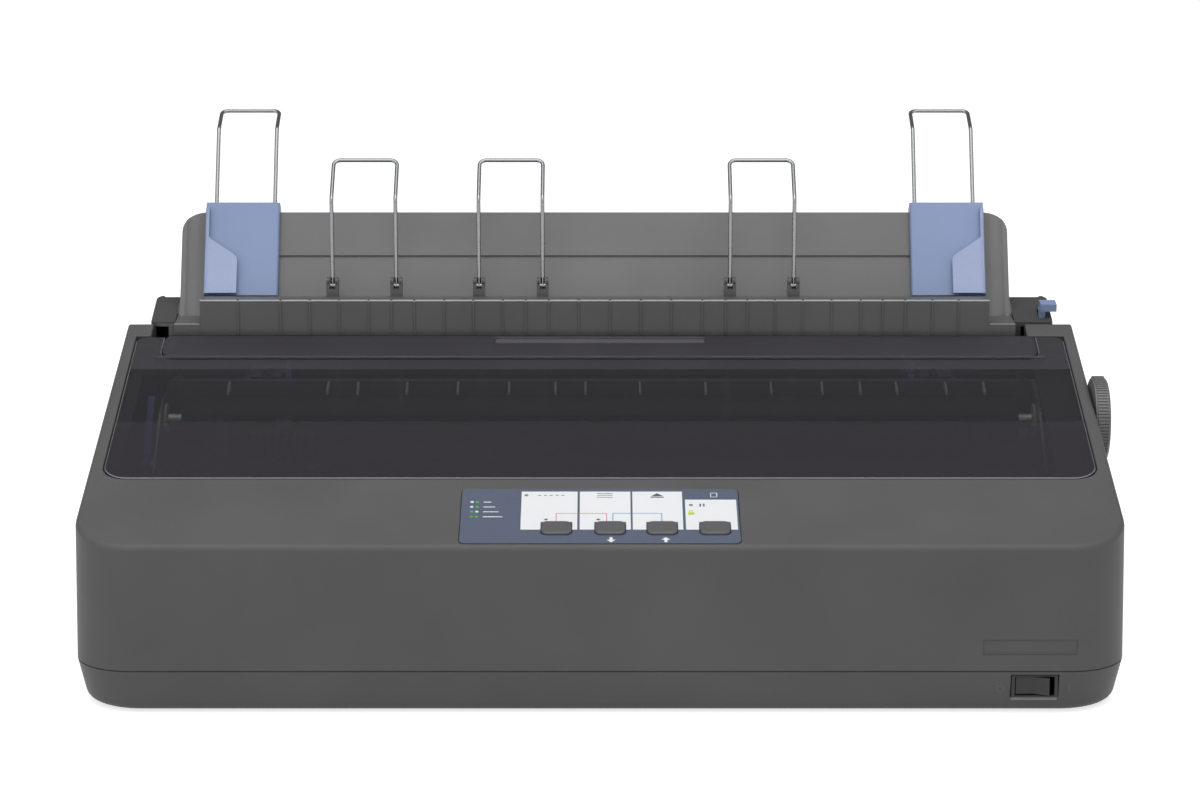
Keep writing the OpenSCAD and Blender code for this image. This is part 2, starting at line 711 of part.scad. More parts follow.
// Power inlet: a body with an open mouth and three pins, flange on the outside
module power_inlet() {
    color("#232326") in_place() union() {
        difference() {
            union() {
                block([inlet_x - inlet_w / 2, case_d - 20, inlet_z - inlet_h / 2],
                      [inlet_x + inlet_w / 2, case_d, inlet_z + inlet_h / 2]);
                block([inlet_x - inlet_w / 2 - 2, case_d - wall - 1.6, inlet_z - inlet_h / 2 - 2],
                      [inlet_x + inlet_w / 2 + 2, case_d - wall, inlet_z + inlet_h / 2 + 2]);
            }
            block([inlet_x - inlet_w / 2 + 1.6, case_d - 17, inlet_z - inlet_h / 2 + 1.6],
                  [inlet_x + inlet_w / 2 - 1.6, case_d + 1, inlet_z + inlet_h / 2 - 1.6]);
        }
        for (k = [-1:1]) block([inlet_x + 7 * k - 1, case_d - 18, inlet_z - 2 + (k == 0 ? 2 : -2)],
                               [inlet_x + 7 * k + 1, case_d - 4, inlet_z + 2 + (k == 0 ? 2 : -2)]);
    }
}

// Toothed disc across X: teeth as a star outline
module toothed(r, teeth, depth, x0, x1, y, z) {
    step = 360 / teeth;
    points = [for (k = [0:teeth - 1], t = [0, 1, 2, 3])
        let (a = step * (k + [0, 0.3, 0.5, 0.8][t]), rr = t < 2 ? r : r - depth)
        [rr * cos(a), rr * sin(a)]];
    translate([x0, y, z]) rotate([90, 0, 90]) linear_extrude(x1 - x0) polygon(points);
}

gear_x0 = frame_in + steel_t + 0.8;
gear_x1 = gear_x0 + gear_w;
shaft_end = -frame_in - steel_t - 2;

module platen_roller() {
    color("#2a2a2a") in_place() difference() {
        axle(platen_r, -platen_hw, platen_hw, platen_y, platen_z);
        axle(shaft_r + 0.02, -platen_hw - 1, platen_hw + 1, platen_y, platen_z);
    }
}

module platen_shaft() {
    color("#b5b8bb") in_place() axle(shaft_r, shaft_end, knob_end - 4, platen_y, platen_z);
}

module platen_bushes() {
    color("#e4e1d6") in_place() for (side = [-1, 1]) difference() {
        union() {
            axle(bush_r - 0.02, side * (frame_in + steel_t / 2) - steel_t / 2,
                 side * (frame_in + steel_t / 2) + steel_t / 2, platen_y, platen_z);
            axle(bush_r + 2, side * (frame_in - 0.7) - 0.7, side * (frame_in - 0.7) + 0.7,
                 platen_y, platen_z);
        }
        axle(shaft_r + fit, side * frame_in - 5, side * frame_in + 5, platen_y, platen_z);
    }
}

module platen_knob() {
    color("#6c6c6c") in_place() difference() {
        union() {
            toothed(knob_r, 84, 0.7, knob_x0 + 1, knob_end - 1.6, platen_y, platen_z);
            axle(knob_r - 1.4, knob_x0, knob_end, platen_y, platen_z);
            axle(6.5, knob_x0 - 7, knob_x0 + 1, platen_y, platen_z);
        }
        axle(shaft_r + 0.02, knob_x0 - 10, knob_end - 4, platen_y, platen_z);
    }
}

module platen_gear() {
    color("#e6e4dc") in_place() difference() {
        toothed(gear_r - gear_gap / 2, 22, 1.2, gear_x0, gear_x1, platen_y, platen_z);
        axle(shaft_r + 0.02, gear_x0 - 1, gear_x1 + 1, platen_y, platen_z);
    }
}

module idler_gear() {
    color("#dcd9cf") in_place() difference() {
        toothed(idler_r - gear_gap / 2, 34, 1.2, gear_x0, gear_x1, idler_y, idler_z);
        axle(shaft_r - 1 + fit, gear_x0 - 1, gear_x1 + 1, idler_y, idler_z);
        // Shallow web on the outer face
        difference() {
            axle(idler_r - 4, gear_x1 - 1.5, gear_x1 + 1, idler_y, idler_z);
            axle(5.5, gear_x1 - 2, gear_x1 + 2, idler_y, idler_z);
        }
    }
}

module tractor_shaft() {
    color("#b5b8bb") in_place() union() {
        axle(shaft_r, shaft_end, gear_x1 + 1, tractor_y, tractor_z);
        toothed(gear_r - gear_gap / 2, 22, 1.2, gear_x0, gear_x1, tractor_y, tractor_z);
    }
}

module motor_pinion() {
    color("#c9a24a") in_place() union() {
        toothed(pinion_r - gear_gap / 2, 10, 1.1, gear_x0, gear_x1, idler_y, pinion_z);
        axle(1.5, frame_in - 12, gear_x1, idler_y, pinion_z);
    }
}

module feed_motor() {
    color("#6f7377") in_place() difference() {
        union() {
            axle(motor_r, frame_in - 33, frame_in - 1.5, idler_y, pinion_z);
            block([frame_in - 1.5, idler_y - motor_r - 2, pinion_z - motor_r + 4],
                  [frame_in, idler_y + motor_r + 2, pinion_z + motor_r - 4]);
        }
        axle(1.5 + fit, frame_in - 14, frame_in + 1, idler_y, pinion_z);
    }
}

module tractor_rod() {
    color("#b5b8bb") in_place() axle(3 - 0.02, shaft_end, -shaft_end, rod_y, tractor_z);
}

// Tractors are drawn for the left side and mirrored for the right one
tractor_x = platen_hw - 28;
door_t = 2;
door_gap = 0.8;
door_z = tractor_z + tractor_r + door_gap;
door_y0 = tractor_y - 8;
door_y1 = rod_y + 8;
door_pin_x = -tractor_x + 2;

module on_side(side) {
    mirror([side > 0 ? 1 : 0, 0, 0]) children();
}

module tractor(side) {
    color("#33353a") in_place() on_side(side) difference() {
        union() {
            translate([-tractor_x, 0, 0]) rotate([90, 0, 90]) linear_extrude(tractor_w) union() {
                translate([tractor_y, tractor_z]) circle(tractor_r);
                translate([rod_y, tractor_z]) circle(tractor_r);
                translate([tractor_y, tractor_z - tractor_r])
                    square([rod_y - tractor_y, 2 * tractor_r]);
            }
            // Ears for the door's pin, and the row of sprocket pins
            for (y = [door_y0 - 0.2, door_y1 - 3.4])
                block([-tractor_x, max(y, tractor_y - 8), tractor_z + 4],
                      [-tractor_x + 4, y + 3.6, door_z + door_t]);
            for (k = [0:2])
                translate([-tractor_x + 12, tractor_y + 2 + 8.5 * k, tractor_z + tractor_r - 1])
                    cylinder(r = 1.6, h = 2.6);
        }
        axle(shaft_r + fit, -tractor_x - 1, -tractor_x + tractor_w + 1, tractor_y, tractor_z);
        axle(3 + fit, -tractor_x - 1, -tractor_x + tractor_w + 1, rod_y, tractor_z);
        translate([door_pin_x, door_y0 - 3, door_z + door_t / 2]) rotate([-90, 0, 0])
            cylinder(r = 0.8 + fit, h = door_y1 - door_y0 + 6);
    }
}
module tractor_left() { tractor(-1); }
module tractor_right() { tractor(1); }

module tractor_door(side) {
    color("#3f4147") in_place() on_side(side) difference() {
        union() {
            block([door_pin_x, door_y0 + 4, door_z],
                  [-tractor_x + tractor_w, door_y1 - 4, door_z + door_t]);
            translate([door_pin_x, door_y0 + 4, door_z + door_t / 2]) rotate([-90, 0, 0])
                cylinder(r = door_t / 2, h = door_y1 - door_y0 - 8);
            translate([door_pin_x, door_y0 + 0.8, door_z + door_t / 2]) rotate([-90, 0, 0])
                cylinder(r = 0.8, h = door_y1 - door_y0 - 1.6);
        }
        // Slot that the sprocket pins reach into
        block([-tractor_x + 9.5, tractor_y - 2, door_z - 1], [-tractor_x + 14.5, rod_y, door_z + 5]);
    }
}
module tractor_door_left() { tractor_door(-1); }
module tractor_door_right() { tractor_door(1); }

// Lock lever that turns on the rod beside its tractor
lock_len = 19;
lock_turn = 62;
module tractor_lock(side) {
    x0 = -tractor_x + tractor_w + 0.3;
    color("#5b78b0") in_place() on_side(side) difference() {
        union() {
            axle(5.5, x0, x0 + 4, rod_y, tractor_z);
            translate([x0, rod_y, tractor_z]) rotate([lock_turn, 0, 0])
                block([0.5, 0, -2.5], [3.5, lock_len, 2.5]);
        }
        axle(3 + fit, x0 - 1, x0 + 5, rod_y, tractor_z);
    }
}
module tractor_lock_left() { tractor_lock(-1); }
module tractor_lock_right() { tractor_lock(1); }

module carriage_rod() {
    color("#c4c7ca") in_place() axle(rod_r - 0.02, shaft_end, -shaft_end, rod_line_y, rod_line_z);
}

belt_h = 5;
clamp_y = belt_y - pulley_r - belt_t;
carriage_top = platen_z - 27;
module carriage() {
    color("#2e2f33") in_place() translate([carriage_x, 0, 0]) difference() {
        union() {
            block([-carriage_hw, rod_line_y - 13, rod_line_z - 11],
                  [carriage_hw, rod_line_y + 10, carriage_top]);
            block([-carriage_hw, rail_y + 3, rail_z + 0.3],
                  [carriage_hw, platen_y - 23, carriage_top]);
            // Clamp that holds the front run of the belt
            block([-9, rod_line_y + 8, belt_z - belt_h], [9, clamp_y + belt_t + 3, rod_line_z]);
        }
        axle(rod_r + fit, -carriage_hw - 1, carriage_hw + 1, rod_line_y, rod_line_z);
        block([-10, clamp_y - 0.3, belt_z - belt_h / 2 - 0.3],
              [10, clamp_y + belt_t + 0.3, belt_z + belt_h / 2 + 0.3]);
    }
}

head_y = platen_y - 42;
module print_head() {
    color("#3a3c40") in_place() translate([carriage_x, 0, 0]) difference() {
        union() {
            block([-17, head_y, carriage_top], [17, head_y + 17, platen_z + 1]);
            block([-4, head_y + 16, platen_z - 6], [4, platen_y - platen_r - 2.9, platen_z + 6]);
        }
        // Cooling fins
        for (k = [-3:3]) block([k * 4.6 - 1.1, head_y - 1, carriage_top + 8],
                               [k * 4.6 + 1.1, head_y + 11, platen_z + 2]);
    }
}

module belt_outline(r) {
    for (side = [-1, 1]) translate([side * pulley_x, belt_y]) circle(r);
    translate([-pulley_x, belt_y - r]) square([2 * pulley_x, 2 * r]);
}
module carriage_belt() {
    color("#202020") in_place() translate([0, 0, belt_z - belt_h / 2])
        linear_extrude(belt_h) difference() {
            belt_outline(pulley_r + belt_t);
            belt_outline(pulley_r);
        }
}

module pulley(x, bore) {
    translate([x, belt_y, belt_z]) difference() {
        union() {
            translate([0, 0, -4]) cylinder(r = pulley_r - 0.05, h = 8);
            for (z = [-4, 3]) translate([0, 0, z]) cylinder(r = pulley_r + 2, h = 1);
        }
        if (bore > 0) translate([0, 0, -5]) cylinder(r = bore, h = 10);
    }
}
module drive_pulley() {
    color("#c9c2a8") in_place() union() {
        pulley(-pulley_x, 0);
        translate([-pulley_x, belt_y, belt_z - 20]) cylinder(r = 1.5, h = 20);
    }
}
module tension_pulley() {
    color("#c9c2a8") in_place() pulley(pulley_x, 2 + fit);
}

module carriage_motor() {
    color("#6f7377") in_place() difference() {
        translate([-pulley_x, belt_y, base_z + steel_t])
            cylinder(r = motor_r - 1, h = belt_z - base_z - steel_t - 6);
        translate([-pulley_x, belt_y, belt_z - 22]) cylinder(r = 1.5 + fit, h = 40);
    }
}

cartridge_hw = platen_hw - 28;
cartridge_y0 = platen_y - 85;
cartridge_z0 = platen_z - 23.8;
cartridge_h = 14;
ribbon_y = platen_y - platen_r - 2.3;
ribbon_knob_x = -150;
ribbon_knob_y = cartridge_y0 + 13;
module ribbon_cartridge() {
    color("#1f1f22") in_place() difference() {
        union() {
            block([-cartridge_hw, cartridge_y0, cartridge_z0],
                  [cartridge_hw, platen_y - 49, cartridge_z0 + cartridge_h]);
            for (side = [0, 1]) mirror([side, 0, 0]) {
                // Arm that leads the ribbon to the platen
                block([cartridge_hw - 1, cartridge_y0 + 8, cartridge_z0 + 2],
                      [cartridge_hw + 12, ribbon_y - 3, cartridge_z0 + cartridge_h]);
                block([cartridge_hw, ribbon_y - 12, cartridge_z0 + 2],
                      [cartridge_hw + 12, ribbon_y, platen_z + 6]);
                // Lug that snaps between the side frames
                block([cartridge_hw + 11, cartridge_y0 + 10, cartridge_z0 + 3],
                      [frame_in - 0.2, cartridge_y0 + 30, cartridge_z0 + 10]);
            }
        }
        translate([ribbon_knob_x, ribbon_knob_y, cartridge_z0 + cartridge_h - 6])
            cylinder(r = 2 + fit, h = 10);
    }
}

module ink_ribbon() {
    color("#15151a") in_place()
        block([-cartridge_hw - 10, ribbon_y, platen_z - 6],
              [cartridge_hw + 10, ribbon_y + 0.4, platen_z + 6]);
}

module ribbon_knob() {
    color("#4a4c52") in_place() translate([ribbon_knob_x, ribbon_knob_y, 0]) union() {
        translate([0, 0, cartridge_z0 + cartridge_h + 0.3]) cylinder(r = 7, h = 1.9);
        translate([0, 0, cartridge_z0 + cartridge_h - 5.5]) cylinder(r = 2, h = 6);
    }
}

// Ribbed bar over the back of the platen, between the side frames
bar_y = platen_y + 15;
module tension_bar() {
    z1 = top_z(bar_y) - cover_t - 0.8;
    color("#5c5a5e") in_place() union() {
        block([-frame_in + 0.1, bar_y, platen_z + 3], [frame_in - 0.1, bar_y + 6, z1]);
        for (x = RIB_X) translate([x - 0.6, 0, 0]) rotate([90, 0, 90]) linear_extrude(1.2)
            polygon([[bar_y - 12, platen_z + platen_r + 0.8], [bar_y + 1, platen_z + platen_r + 0.8],
                     [bar_y + 1, z1], [bar_y - 12, top_z(bar_y - 12) - cover_t - 0.9]]);
    }
}

// Paper thickness lever on a stub outside the left side frame
lever_len = 40;
lever_up = 47;
lever_x0 = -frame_in - steel_t - 8.5;
module thickness_lever() {
    color("#3f5f9e") in_place() difference() {
        union() {
            axle(6, lever_x0, lever_x0 + 4, lever_y, lever_z);
            translate([lever_x0, lever_y, lever_z]) rotate([lever_up, 0, 0]) union() {
                block([0, 0, -3], [4, lever_len, 3]);
                axle(3, 0, 4, lever_len, 0);
            }
        }
        axle(3 + fit, lever_x0 - 1, lever_x0 + 5, lever_y, lever_z);
    }
}

release_lean = 5;
release_len = 44.5;
module release_lever() {
    color("#5b78b0") in_place() translate([release_x, release_y, release_z]) difference() {
        union() {
            axle(5, -release_stem / 2, release_stem / 2, 0, 0);
            rotate([release_lean, 0, 0])
                block([-release_stem / 2, -2.2, 0], [release_stem / 2, 2.2, release_len + 1]);
            rotate([release_lean, 0, 0])
                block([rear_right - release_x + release_over - release_w, -4.5, release_len],
                      [rear_right - release_x + release_over, 4.5, release_len + 4.5]);
        }
        axle(release_r + fit, -5, 5, 0, 0);
    }
}

ledge_top = ribbed_z + ribbed_h;
wire_r = wire_d / 2;
hook_r = wire_r + 0.15;
clip_w = 6.7;
clip_y0 = ribbed_y + ledge_d;
clip_y1 = clip_y0 + 6.4;
wire_y = clip_y0 + 3.2;
wire_z = ledge_top + 5.6;
LEG_X = [for (x = OUTPUT_X, side = [-1, 1]) x + side * wire_w / 2];

// Ribbed front wall with its ledge, end cheeks, pivot pins and wire clips
module paper_guide() {
    x0 = guide_cx - ribbed_hw;
    x1 = guide_cx + ribbed_hw;
    color("#4f4f50") in_place() difference() {
        union() {
            block([x0, ribbed_y, ribbed_z], [x1, ribbed_y + 2.2, ledge_top]);
            block([x0, ribbed_y, ledge_top - 2], [x1, ribbed_y + ledge_d, ledge_top]);
            for (x = GUIDE_RIB_X) if (x > x0 + 3 && x < x1 - 3)
                block([x - 0.6, ribbed_y - 0.8, ribbed_z + 1], [x + 0.6, ribbed_y + 1, ledge_top - 0.6]);
            for (side = [-1, 1]) {
                low = min(guide_cx + side * guide_hw, guide_cx + side * (ribbed_hw - 1));
                high = max(guide_cx + side * guide_hw, guide_cx + side * (ribbed_hw - 1));
                // Cheek: a floor and an upright end that carry the back plate
                block([low, ribbed_y, ribbed_z], [high, pivot_y + 6, ribbed_z + 7]);
                axle(pivot_r, guide_cx + side * (guide_hw + 0.8) - 3.4,
                     guide_cx + side * (guide_hw + 0.8) + 3.4, pivot_y, pivot_z);
            }
            for (x = LEG_X)
                block([x - clip_w / 2, clip_y0 - 1, ledge_top - 6], [x + clip_w / 2, clip_y1, ledge_top + 10]);
        }
        for (x = LEG_X) {
            block([x - wire_r - 0.35, clip_y0 - 3, wire_z - 2.6],
                  [x + wire_r + 0.35, clip_y1 + 1, ledge_top + 12]);
            axle(hook_r + fit, x - clip_w / 2 - 1, x + clip_w / 2 + 1, wire_y, wire_z);
        }
        on_plate() block([-plate_hw - 0.1, -0.1, -2.1], [plate_hw + 0.1, plate_t + 0.1, 30]);
    }
}

plate_t = 2.4;
groove_z = 38.7;
module back_plate() {
    color("#7c7c7c") in_place() on_plate() difference() {
        union() {
            translate([0, plate_t, 0]) rotate([90, 0, 0]) linear_extrude(plate_t)
                rounded(-plate_hw, -2, plate_hw, plate_l - 2, 1, 12);
            // Stiffening walls at both ends, behind the plate
            for (side = [-1, 1]) block([side * (plate_hw - 8) - 0.9, plate_t - 0.2, 14],
                                       [side * (plate_hw - 8) + 0.9, plate_t + 5, plate_l - 10]);
        }
        block([-plate_hw - 1, -1, groove_z], [plate_hw + 1, 1.2, groove_z + 2]);
    }
}

// Wire support that folds forward out of its two clips
support_leg = 47;
support_angle = 54;
support_tip = 28;
module output_wire(x) {
    color("#d5d7d9") in_place() translate([x, wire_y, wire_z]) union() {
        for (side = [-1, 1]) axle(hook_r, side * wire_w / 2 - clip_w / 2 + 0.3,
                                  side * wire_w / 2 + clip_w / 2 - 0.3, 0, 0);
        wire_support(wire_w, support_leg, support_angle, support_tip, wire_r, 5, 4);
    }
}
module output_wire_1() { output_wire(OUTPUT_X[0]); }
module output_wire_2() { output_wire(OUTPUT_X[1]); }
module output_wire_3() { output_wire(OUTPUT_X[2]); }

// Edge guides are drawn for the left side, with X from their outer edge, and mirrored
edge_x = plate_hw - 14;
edge_z0 = 13;
edge_z1 = plate_l + 2.4;
channel_y = -2.6;
LEG_IN = [5.6, edge_w - 3];
module edge_guide(side) {
    color("#8d9fc4") in_place() on_plate() on_side(side) translate([-edge_x, 0, 0]) difference() {
        union() {
            block([0, -4.7, edge_z0], [edge_w, -gap, edge_z1]);
            // Tongue in the plate's groove and the hook over its top edge
            block([4, -1, groove_z + 0.25], [edge_w - 4, 0.9, groove_z + 1.75]);
            block([0, -1, plate_l - 2 + gap], [edge_w, 5.2, edge_z1]);
            block([0, plate_t + gap, plate_l - 9], [edge_w, 5.2, edge_z1]);
            // Fence at the outer side with its paper flap
            block([0, -10, edge_z0 + 2], [2.2, -4, edge_z1 - 1]);
            translate([0, -8.2, 0]) rotate([90, 0, 0]) linear_extrude(1.8)
                polygon([[0, edge_z0 + 2], [edge_w / 2, edge_z0 + 2], [edge_w / 2, groove_z - 1],
                         [6, groove_z + 9], [5, edge_z1 - 1], [0, edge_z1 - 1]]);
        }
        for (x = LEG_IN) translate([x, channel_y, edge_z0 - 1]) cylinder(r = wire_r + 0.15, h = far);
    }
}
module edge_guide_left() { edge_guide(-1); }
module edge_guide_right() { edge_guide(1); }

// Wire of an edge guide: two legs in the guide's channels and a tip bent back
guide_leg = 57;
guide_angle = 42;
guide_tip = 20;
module guide_wire(side) {
    mid = (LEG_IN[0] + LEG_IN[1]) / 2;
    color("#d5d7d9") in_place() on_plate() on_side(side)
        translate([-edge_x + mid, channel_y, edge_z1 - 14])
            wire_support(LEG_IN[1] - LEG_IN[0], guide_leg, guide_angle, guide_tip, wire_r, 5, 4);
}
module guide_wire_left() { guide_wire(-1); }
module guide_wire_right() { guide_wire(1); }

lower_case();
upper_case();
rear_case();
rubber_feet();
case_screws();
main_cover();
cover_flap();
control_panel();
panel_board();
button_1();
button_2();
button_3();
button_4();
switch_housing();
power_rocker();
base_frame();
side_frame_left();
side_frame_right();
control_board();
power_supply();
power_inlet();
interface_ports();
platen_roller();
platen_shaft();
platen_bushes();
platen_knob();
platen_gear();
idler_gear();
tractor_shaft();
motor_pinion();
feed_motor();
tractor_rod();
tractor_left();
tractor_right();
tractor_door_left();
tractor_door_right();
tractor_lock_left();
tractor_lock_right();
carriage_rod();
carriage();
print_head();
carriage_belt();
drive_pulley();
tension_pulley();
carriage_motor();
ribbon_cartridge();
ink_ribbon();
ribbon_knob();
tension_bar();
thickness_lever();
release_lever();
paper_guide();
back_plate();
output_wire_1();
output_wire_2();
output_wire_3();
edge_guide_left();
edge_guide_right();
guide_wire_left();
guide_wire_right();
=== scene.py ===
import math

import bmesh
import bpy
from mathutils import Matrix, Vector


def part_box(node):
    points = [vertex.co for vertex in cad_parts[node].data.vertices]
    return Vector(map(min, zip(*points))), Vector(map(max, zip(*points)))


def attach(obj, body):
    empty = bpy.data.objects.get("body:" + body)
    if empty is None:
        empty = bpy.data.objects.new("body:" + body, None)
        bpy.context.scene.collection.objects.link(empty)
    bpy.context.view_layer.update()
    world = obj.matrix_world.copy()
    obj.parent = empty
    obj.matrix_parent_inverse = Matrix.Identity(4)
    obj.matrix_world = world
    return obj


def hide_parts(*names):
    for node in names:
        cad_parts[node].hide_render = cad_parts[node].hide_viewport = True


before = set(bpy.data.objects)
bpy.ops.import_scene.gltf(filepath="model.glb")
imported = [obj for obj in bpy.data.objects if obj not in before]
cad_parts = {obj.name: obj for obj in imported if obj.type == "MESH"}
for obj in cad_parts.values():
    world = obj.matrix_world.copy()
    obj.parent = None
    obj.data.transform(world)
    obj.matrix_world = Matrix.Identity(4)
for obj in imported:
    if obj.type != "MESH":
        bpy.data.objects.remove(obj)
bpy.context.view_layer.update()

# Sizes of the printer in millimetres and degrees, as the frame has them
MM = 0.001
WALL = 2.5
GAP = 0.4
HALF_W = 269.5
SEAM_H = 23.2
RIDGE_H = 89
SLOPE = math.radians(14.8)
DRAFT = math.radians(0.9)
TRAY_LEAN = math.radians(11)
CORNER_R = 30
FOOT_H = 1.2
ARM_END = 242
CASE_D = 275
REAR_LEFT = HALF_W - 14.9
REAR_RIGHT = HALF_W - 12.8
COVER_HW = HALF_W - 9
COVER_T = 2.6
PLATEN_Y = 165
PLATEN_Z = 115
GUIDE_X = -3
PLATE_LEAN = math.radians(28)
PLATE_HW = HALF_W - 33.2
PLATE_L = 66
PLATE_T = 2.4
PLATE_Y = 250
PLATE_Z = 152.87
WIRE_R = 1.15
BUTTON_X = [-22.2, 5.2, 31.7, 58.6]
BUTTON_W = 15.4
BUTTON_L = 12.6


def up(y):
    """Distance up the slope for a distance from the front."""
    return y / math.cos(SLOPE)


def top_z(y):
    """Height of the sloped top at a distance from the front."""
    return RIDGE_H + y * math.tan(SLOPE)


def wall_in(z):
    """How far the walls lean in at a height above the seam."""
    return (z - SEAM_H) * math.tan(DRAFT)


COVER_U0 = up(68) + GAP
COVER_U1 = up(224)
FLAP_U0 = COVER_U1 - 25
HINGE_U = COVER_U1 - 6
HINGE_N = -3.4
BUTTON_U = up(12)

# The case's own frame: X from its middle, Y from its front face, Z from the table
case_low, case_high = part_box("upper_case")
CASE_AT = Vector(((case_low.x + case_high.x) / 2, case_low.y, 0))
CASE = Matrix.Translation(CASE_AT) @ Matrix.Scale(MM, 4)
# Top frame: X across, Y up the slope from the ridge, Z square to it, in the case's millimetres
ON_TOP = Matrix.Translation((0, 0, RIDGE_H)) @ Matrix.Rotation(SLOPE, 4, "X")
TOP = CASE @ ON_TOP
# Back plate frame: X across, Y square to the plate and to the rear, Z up along it
ON_PLATE = Matrix.Translation((GUIDE_X, PLATE_Y, PLATE_Z)) @ Matrix.Rotation(-PLATE_LEAN, 4, "X")
PLATE = CASE @ ON_PLATE


# Tools for modelling

def let_go():
    """Leaves edit mode and deselects everything."""
    if bpy.context.mode != "OBJECT":
        bpy.ops.object.mode_set(mode="OBJECT")
    bpy.ops.object.select_all(action="DESELECT")


def take(*pieces):
    """Selects these pieces alone, the first one active."""
    let_go()
    for piece in pieces:
        piece.select_set(True)
    bpy.context.view_layer.objects.active = pieces[0]
    return pieces[0]


def apply_place(piece):
    """Puts a piece's place, turn and size into its mesh."""
    take(piece)
    bpy.ops.object.transform_apply(location=True, rotation=True, scale=True)
    return piece


def block(name, low, high):
    """A block between two corners."""
    let_go()
    low, high = Vector(low), Vector(high)
    bpy.ops.mesh.primitive_cube_add(size=1, location=(low + high) / 2, scale=high - low)
    piece = bpy.context.object
    piece.name = name
    return apply_place(piece)


TURN_TO = {"X": (0, math.pi / 2, 0), "Y": (-math.pi / 2, 0, 0), "Z": (0, 0, 0)}


def rod(name, radius, axis, start, length, sides=32):
    """A round bar along an axis, from its start point."""
    let_go()
    along = Vector([length / 2 if a == axis else 0 for a in "XYZ"])
    bpy.ops.mesh.primitive_cylinder_add(vertices=sides, radius=radius, depth=abs(length),
                                        location=Vector(start) + along, rotation=TURN_TO[axis])
    piece = bpy.context.object
    piece.name = name
    return apply_place(piece)


def plate_of(name, outline, place, thickness):
    """A plate: an outline of 2D points, each put in space by place(), pulled out by a vector."""
    let_go()
    bpy.ops.mesh.primitive_circle_add(vertices=len(outline), radius=1, fill_type="NGON")
    piece = bpy.context.object
    piece.name = name
    for vertex, point in zip(piece.data.vertices, outline):
        vertex.co = place(*point)
    pick(piece, "FACE", lambda face: True)
    bpy.ops.mesh.extrude_region_move(TRANSFORM_OT_translate={"value": thickness})
    return outward(piece)


def pick(piece, kind, test):
    """Selects in edit mode the vertices, edges or faces of a piece that pass a test."""
    take(piece)
    bpy.ops.object.mode_set(mode="EDIT")
    bpy.ops.mesh.select_mode(type=kind)
    bpy.ops.mesh.select_all(action="DESELECT")
    mesh = bmesh.from_edit_mesh(piece.data)
    mesh.normal_update()
    items = {"VERT": mesh.verts, "EDGE": mesh.edges, "FACE": mesh.faces}[kind]
    chosen = [item for item in items if test(item)]
    for item in chosen:
        item.select_set(True)
    bmesh.update_edit_mesh(piece.data)
    return len(chosen)


def ends(edge):
    """The places of an edge's two ends."""
    return [vertex.co for vertex in edge.verts]


def higher(edge, z):
    """True for an edge that lies above a height."""
    return all(point.z > z for point in ends(edge))


def sharp(edge, least=50):
    """True for an edge between two faces that meet at more than this many degrees."""
    return len(edge.link_faces) == 2 and edge.calc_face_angle(0) > math.radians(least)


def upright(edge, axis=2):
    """True for an edge that runs nearly along one axis."""
    a, b = ends(edge)
    along = (b - a).normalized()
    return abs(along[axis]) > 0.9


def round_edges(piece, width, segments, test):
    """Rounds the edges of a piece that pass a test."""
    if pick(piece, "EDGE", test):
        bpy.ops.mesh.bevel(offset=width, segments=segments, affect="EDGES", clamp_overlap=False)
    let_go()
    return piece


def reshape(piece, rule):
    """Moves every vertex of a piece to the place that a rule gives it."""
    take(piece)
    bpy.ops.object.mode_set(mode="EDIT")
    mesh = bmesh.from_edit_mesh(piece.data)
    for vertex in mesh.verts:
        vertex.co = rule(vertex.co.copy())
    bmesh.update_edit_mesh(piece.data)
    let_go()
    return piece


def outward(piece):
    """Merges doubles and turns every face outwards."""
    pick(piece, "FACE", lambda face: True)
    bpy.ops.mesh.select_all(action="SELECT")
    bpy.ops.mesh.remove_doubles(threshold=0.001)
    bpy.ops.mesh.normals_make_consistent(inside=False)
    let_go()
    return piece


def apply_modifier(piece, kind, **settings):
    """Adds a modifier, sets it and applies it."""
    take(piece)
    modifier = piece.modifiers.new(kind.lower(), kind)
    for name, value in settings.items():
        setattr(modifier, name, value)
    bpy.ops.object.modifier_apply(modifier=modifier.name)
    return piece


def combine(piece, how, tools):
    """Adds or cuts away tools, which are used up."""
    for tool in tools:
        apply_modifier(piece, "BOOLEAN", operation=how, solver="EXACT", object=tool)
        bpy.data.objects.remove(tool)
    return piece


def cut(piece, *tools):
    """Cuts tools away from a piece."""
    return combine(piece, "DIFFERENCE", tools)


def add(piece, *tools):
    """Adds tools to a piece, as one solid."""
    return combine(piece, "UNION", tools)


def joined(*pieces):
    """Joins pieces into the first one, which has to have the materials of all of them."""
    first = take(*pieces)
    bpy.ops.object.join()
    return first


def put(piece, place):
    """Moves a piece by a matrix, into its mesh."""
    piece.matrix_world = place @ piece.matrix_world
    return apply_place(piece)


def soften(piece, width, segments=2, least=35):
    """Rounds every sharp edge a little, as a mould does."""
    return apply_modifier(piece, "BEVEL", width=width, segments=segments, limit_method="ANGLE",
                          angle_limit=math.radians(least), use_clamp_overlap=True)


def soft_block(name, low, high, width, segments=2):
    """A block between two corners, with its edges rounded."""
    return soften(block(name, low, high), width, segments)


def finish(piece, place, body, material, replaces=(), smooth=40):
    """Puts a modelled piece in place, shades it, and has it ride on its body."""
    put(piece, place)
    take(piece)
    bpy.ops.object.shade_smooth_by_angle(angle=math.radians(smooth))
    apply_modifier(piece, "WEIGHTED_NORMAL", keep_sharp=True, weight=50)
    for index, finish_material in enumerate(material if isinstance(material, list) else [material]):
        if index < len(piece.data.materials):
            piece.data.materials[index] = finish_material
        else:
            piece.data.materials.append(finish_material)
    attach(piece, body)
    if replaces:
        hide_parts(*replaces)
    return piece


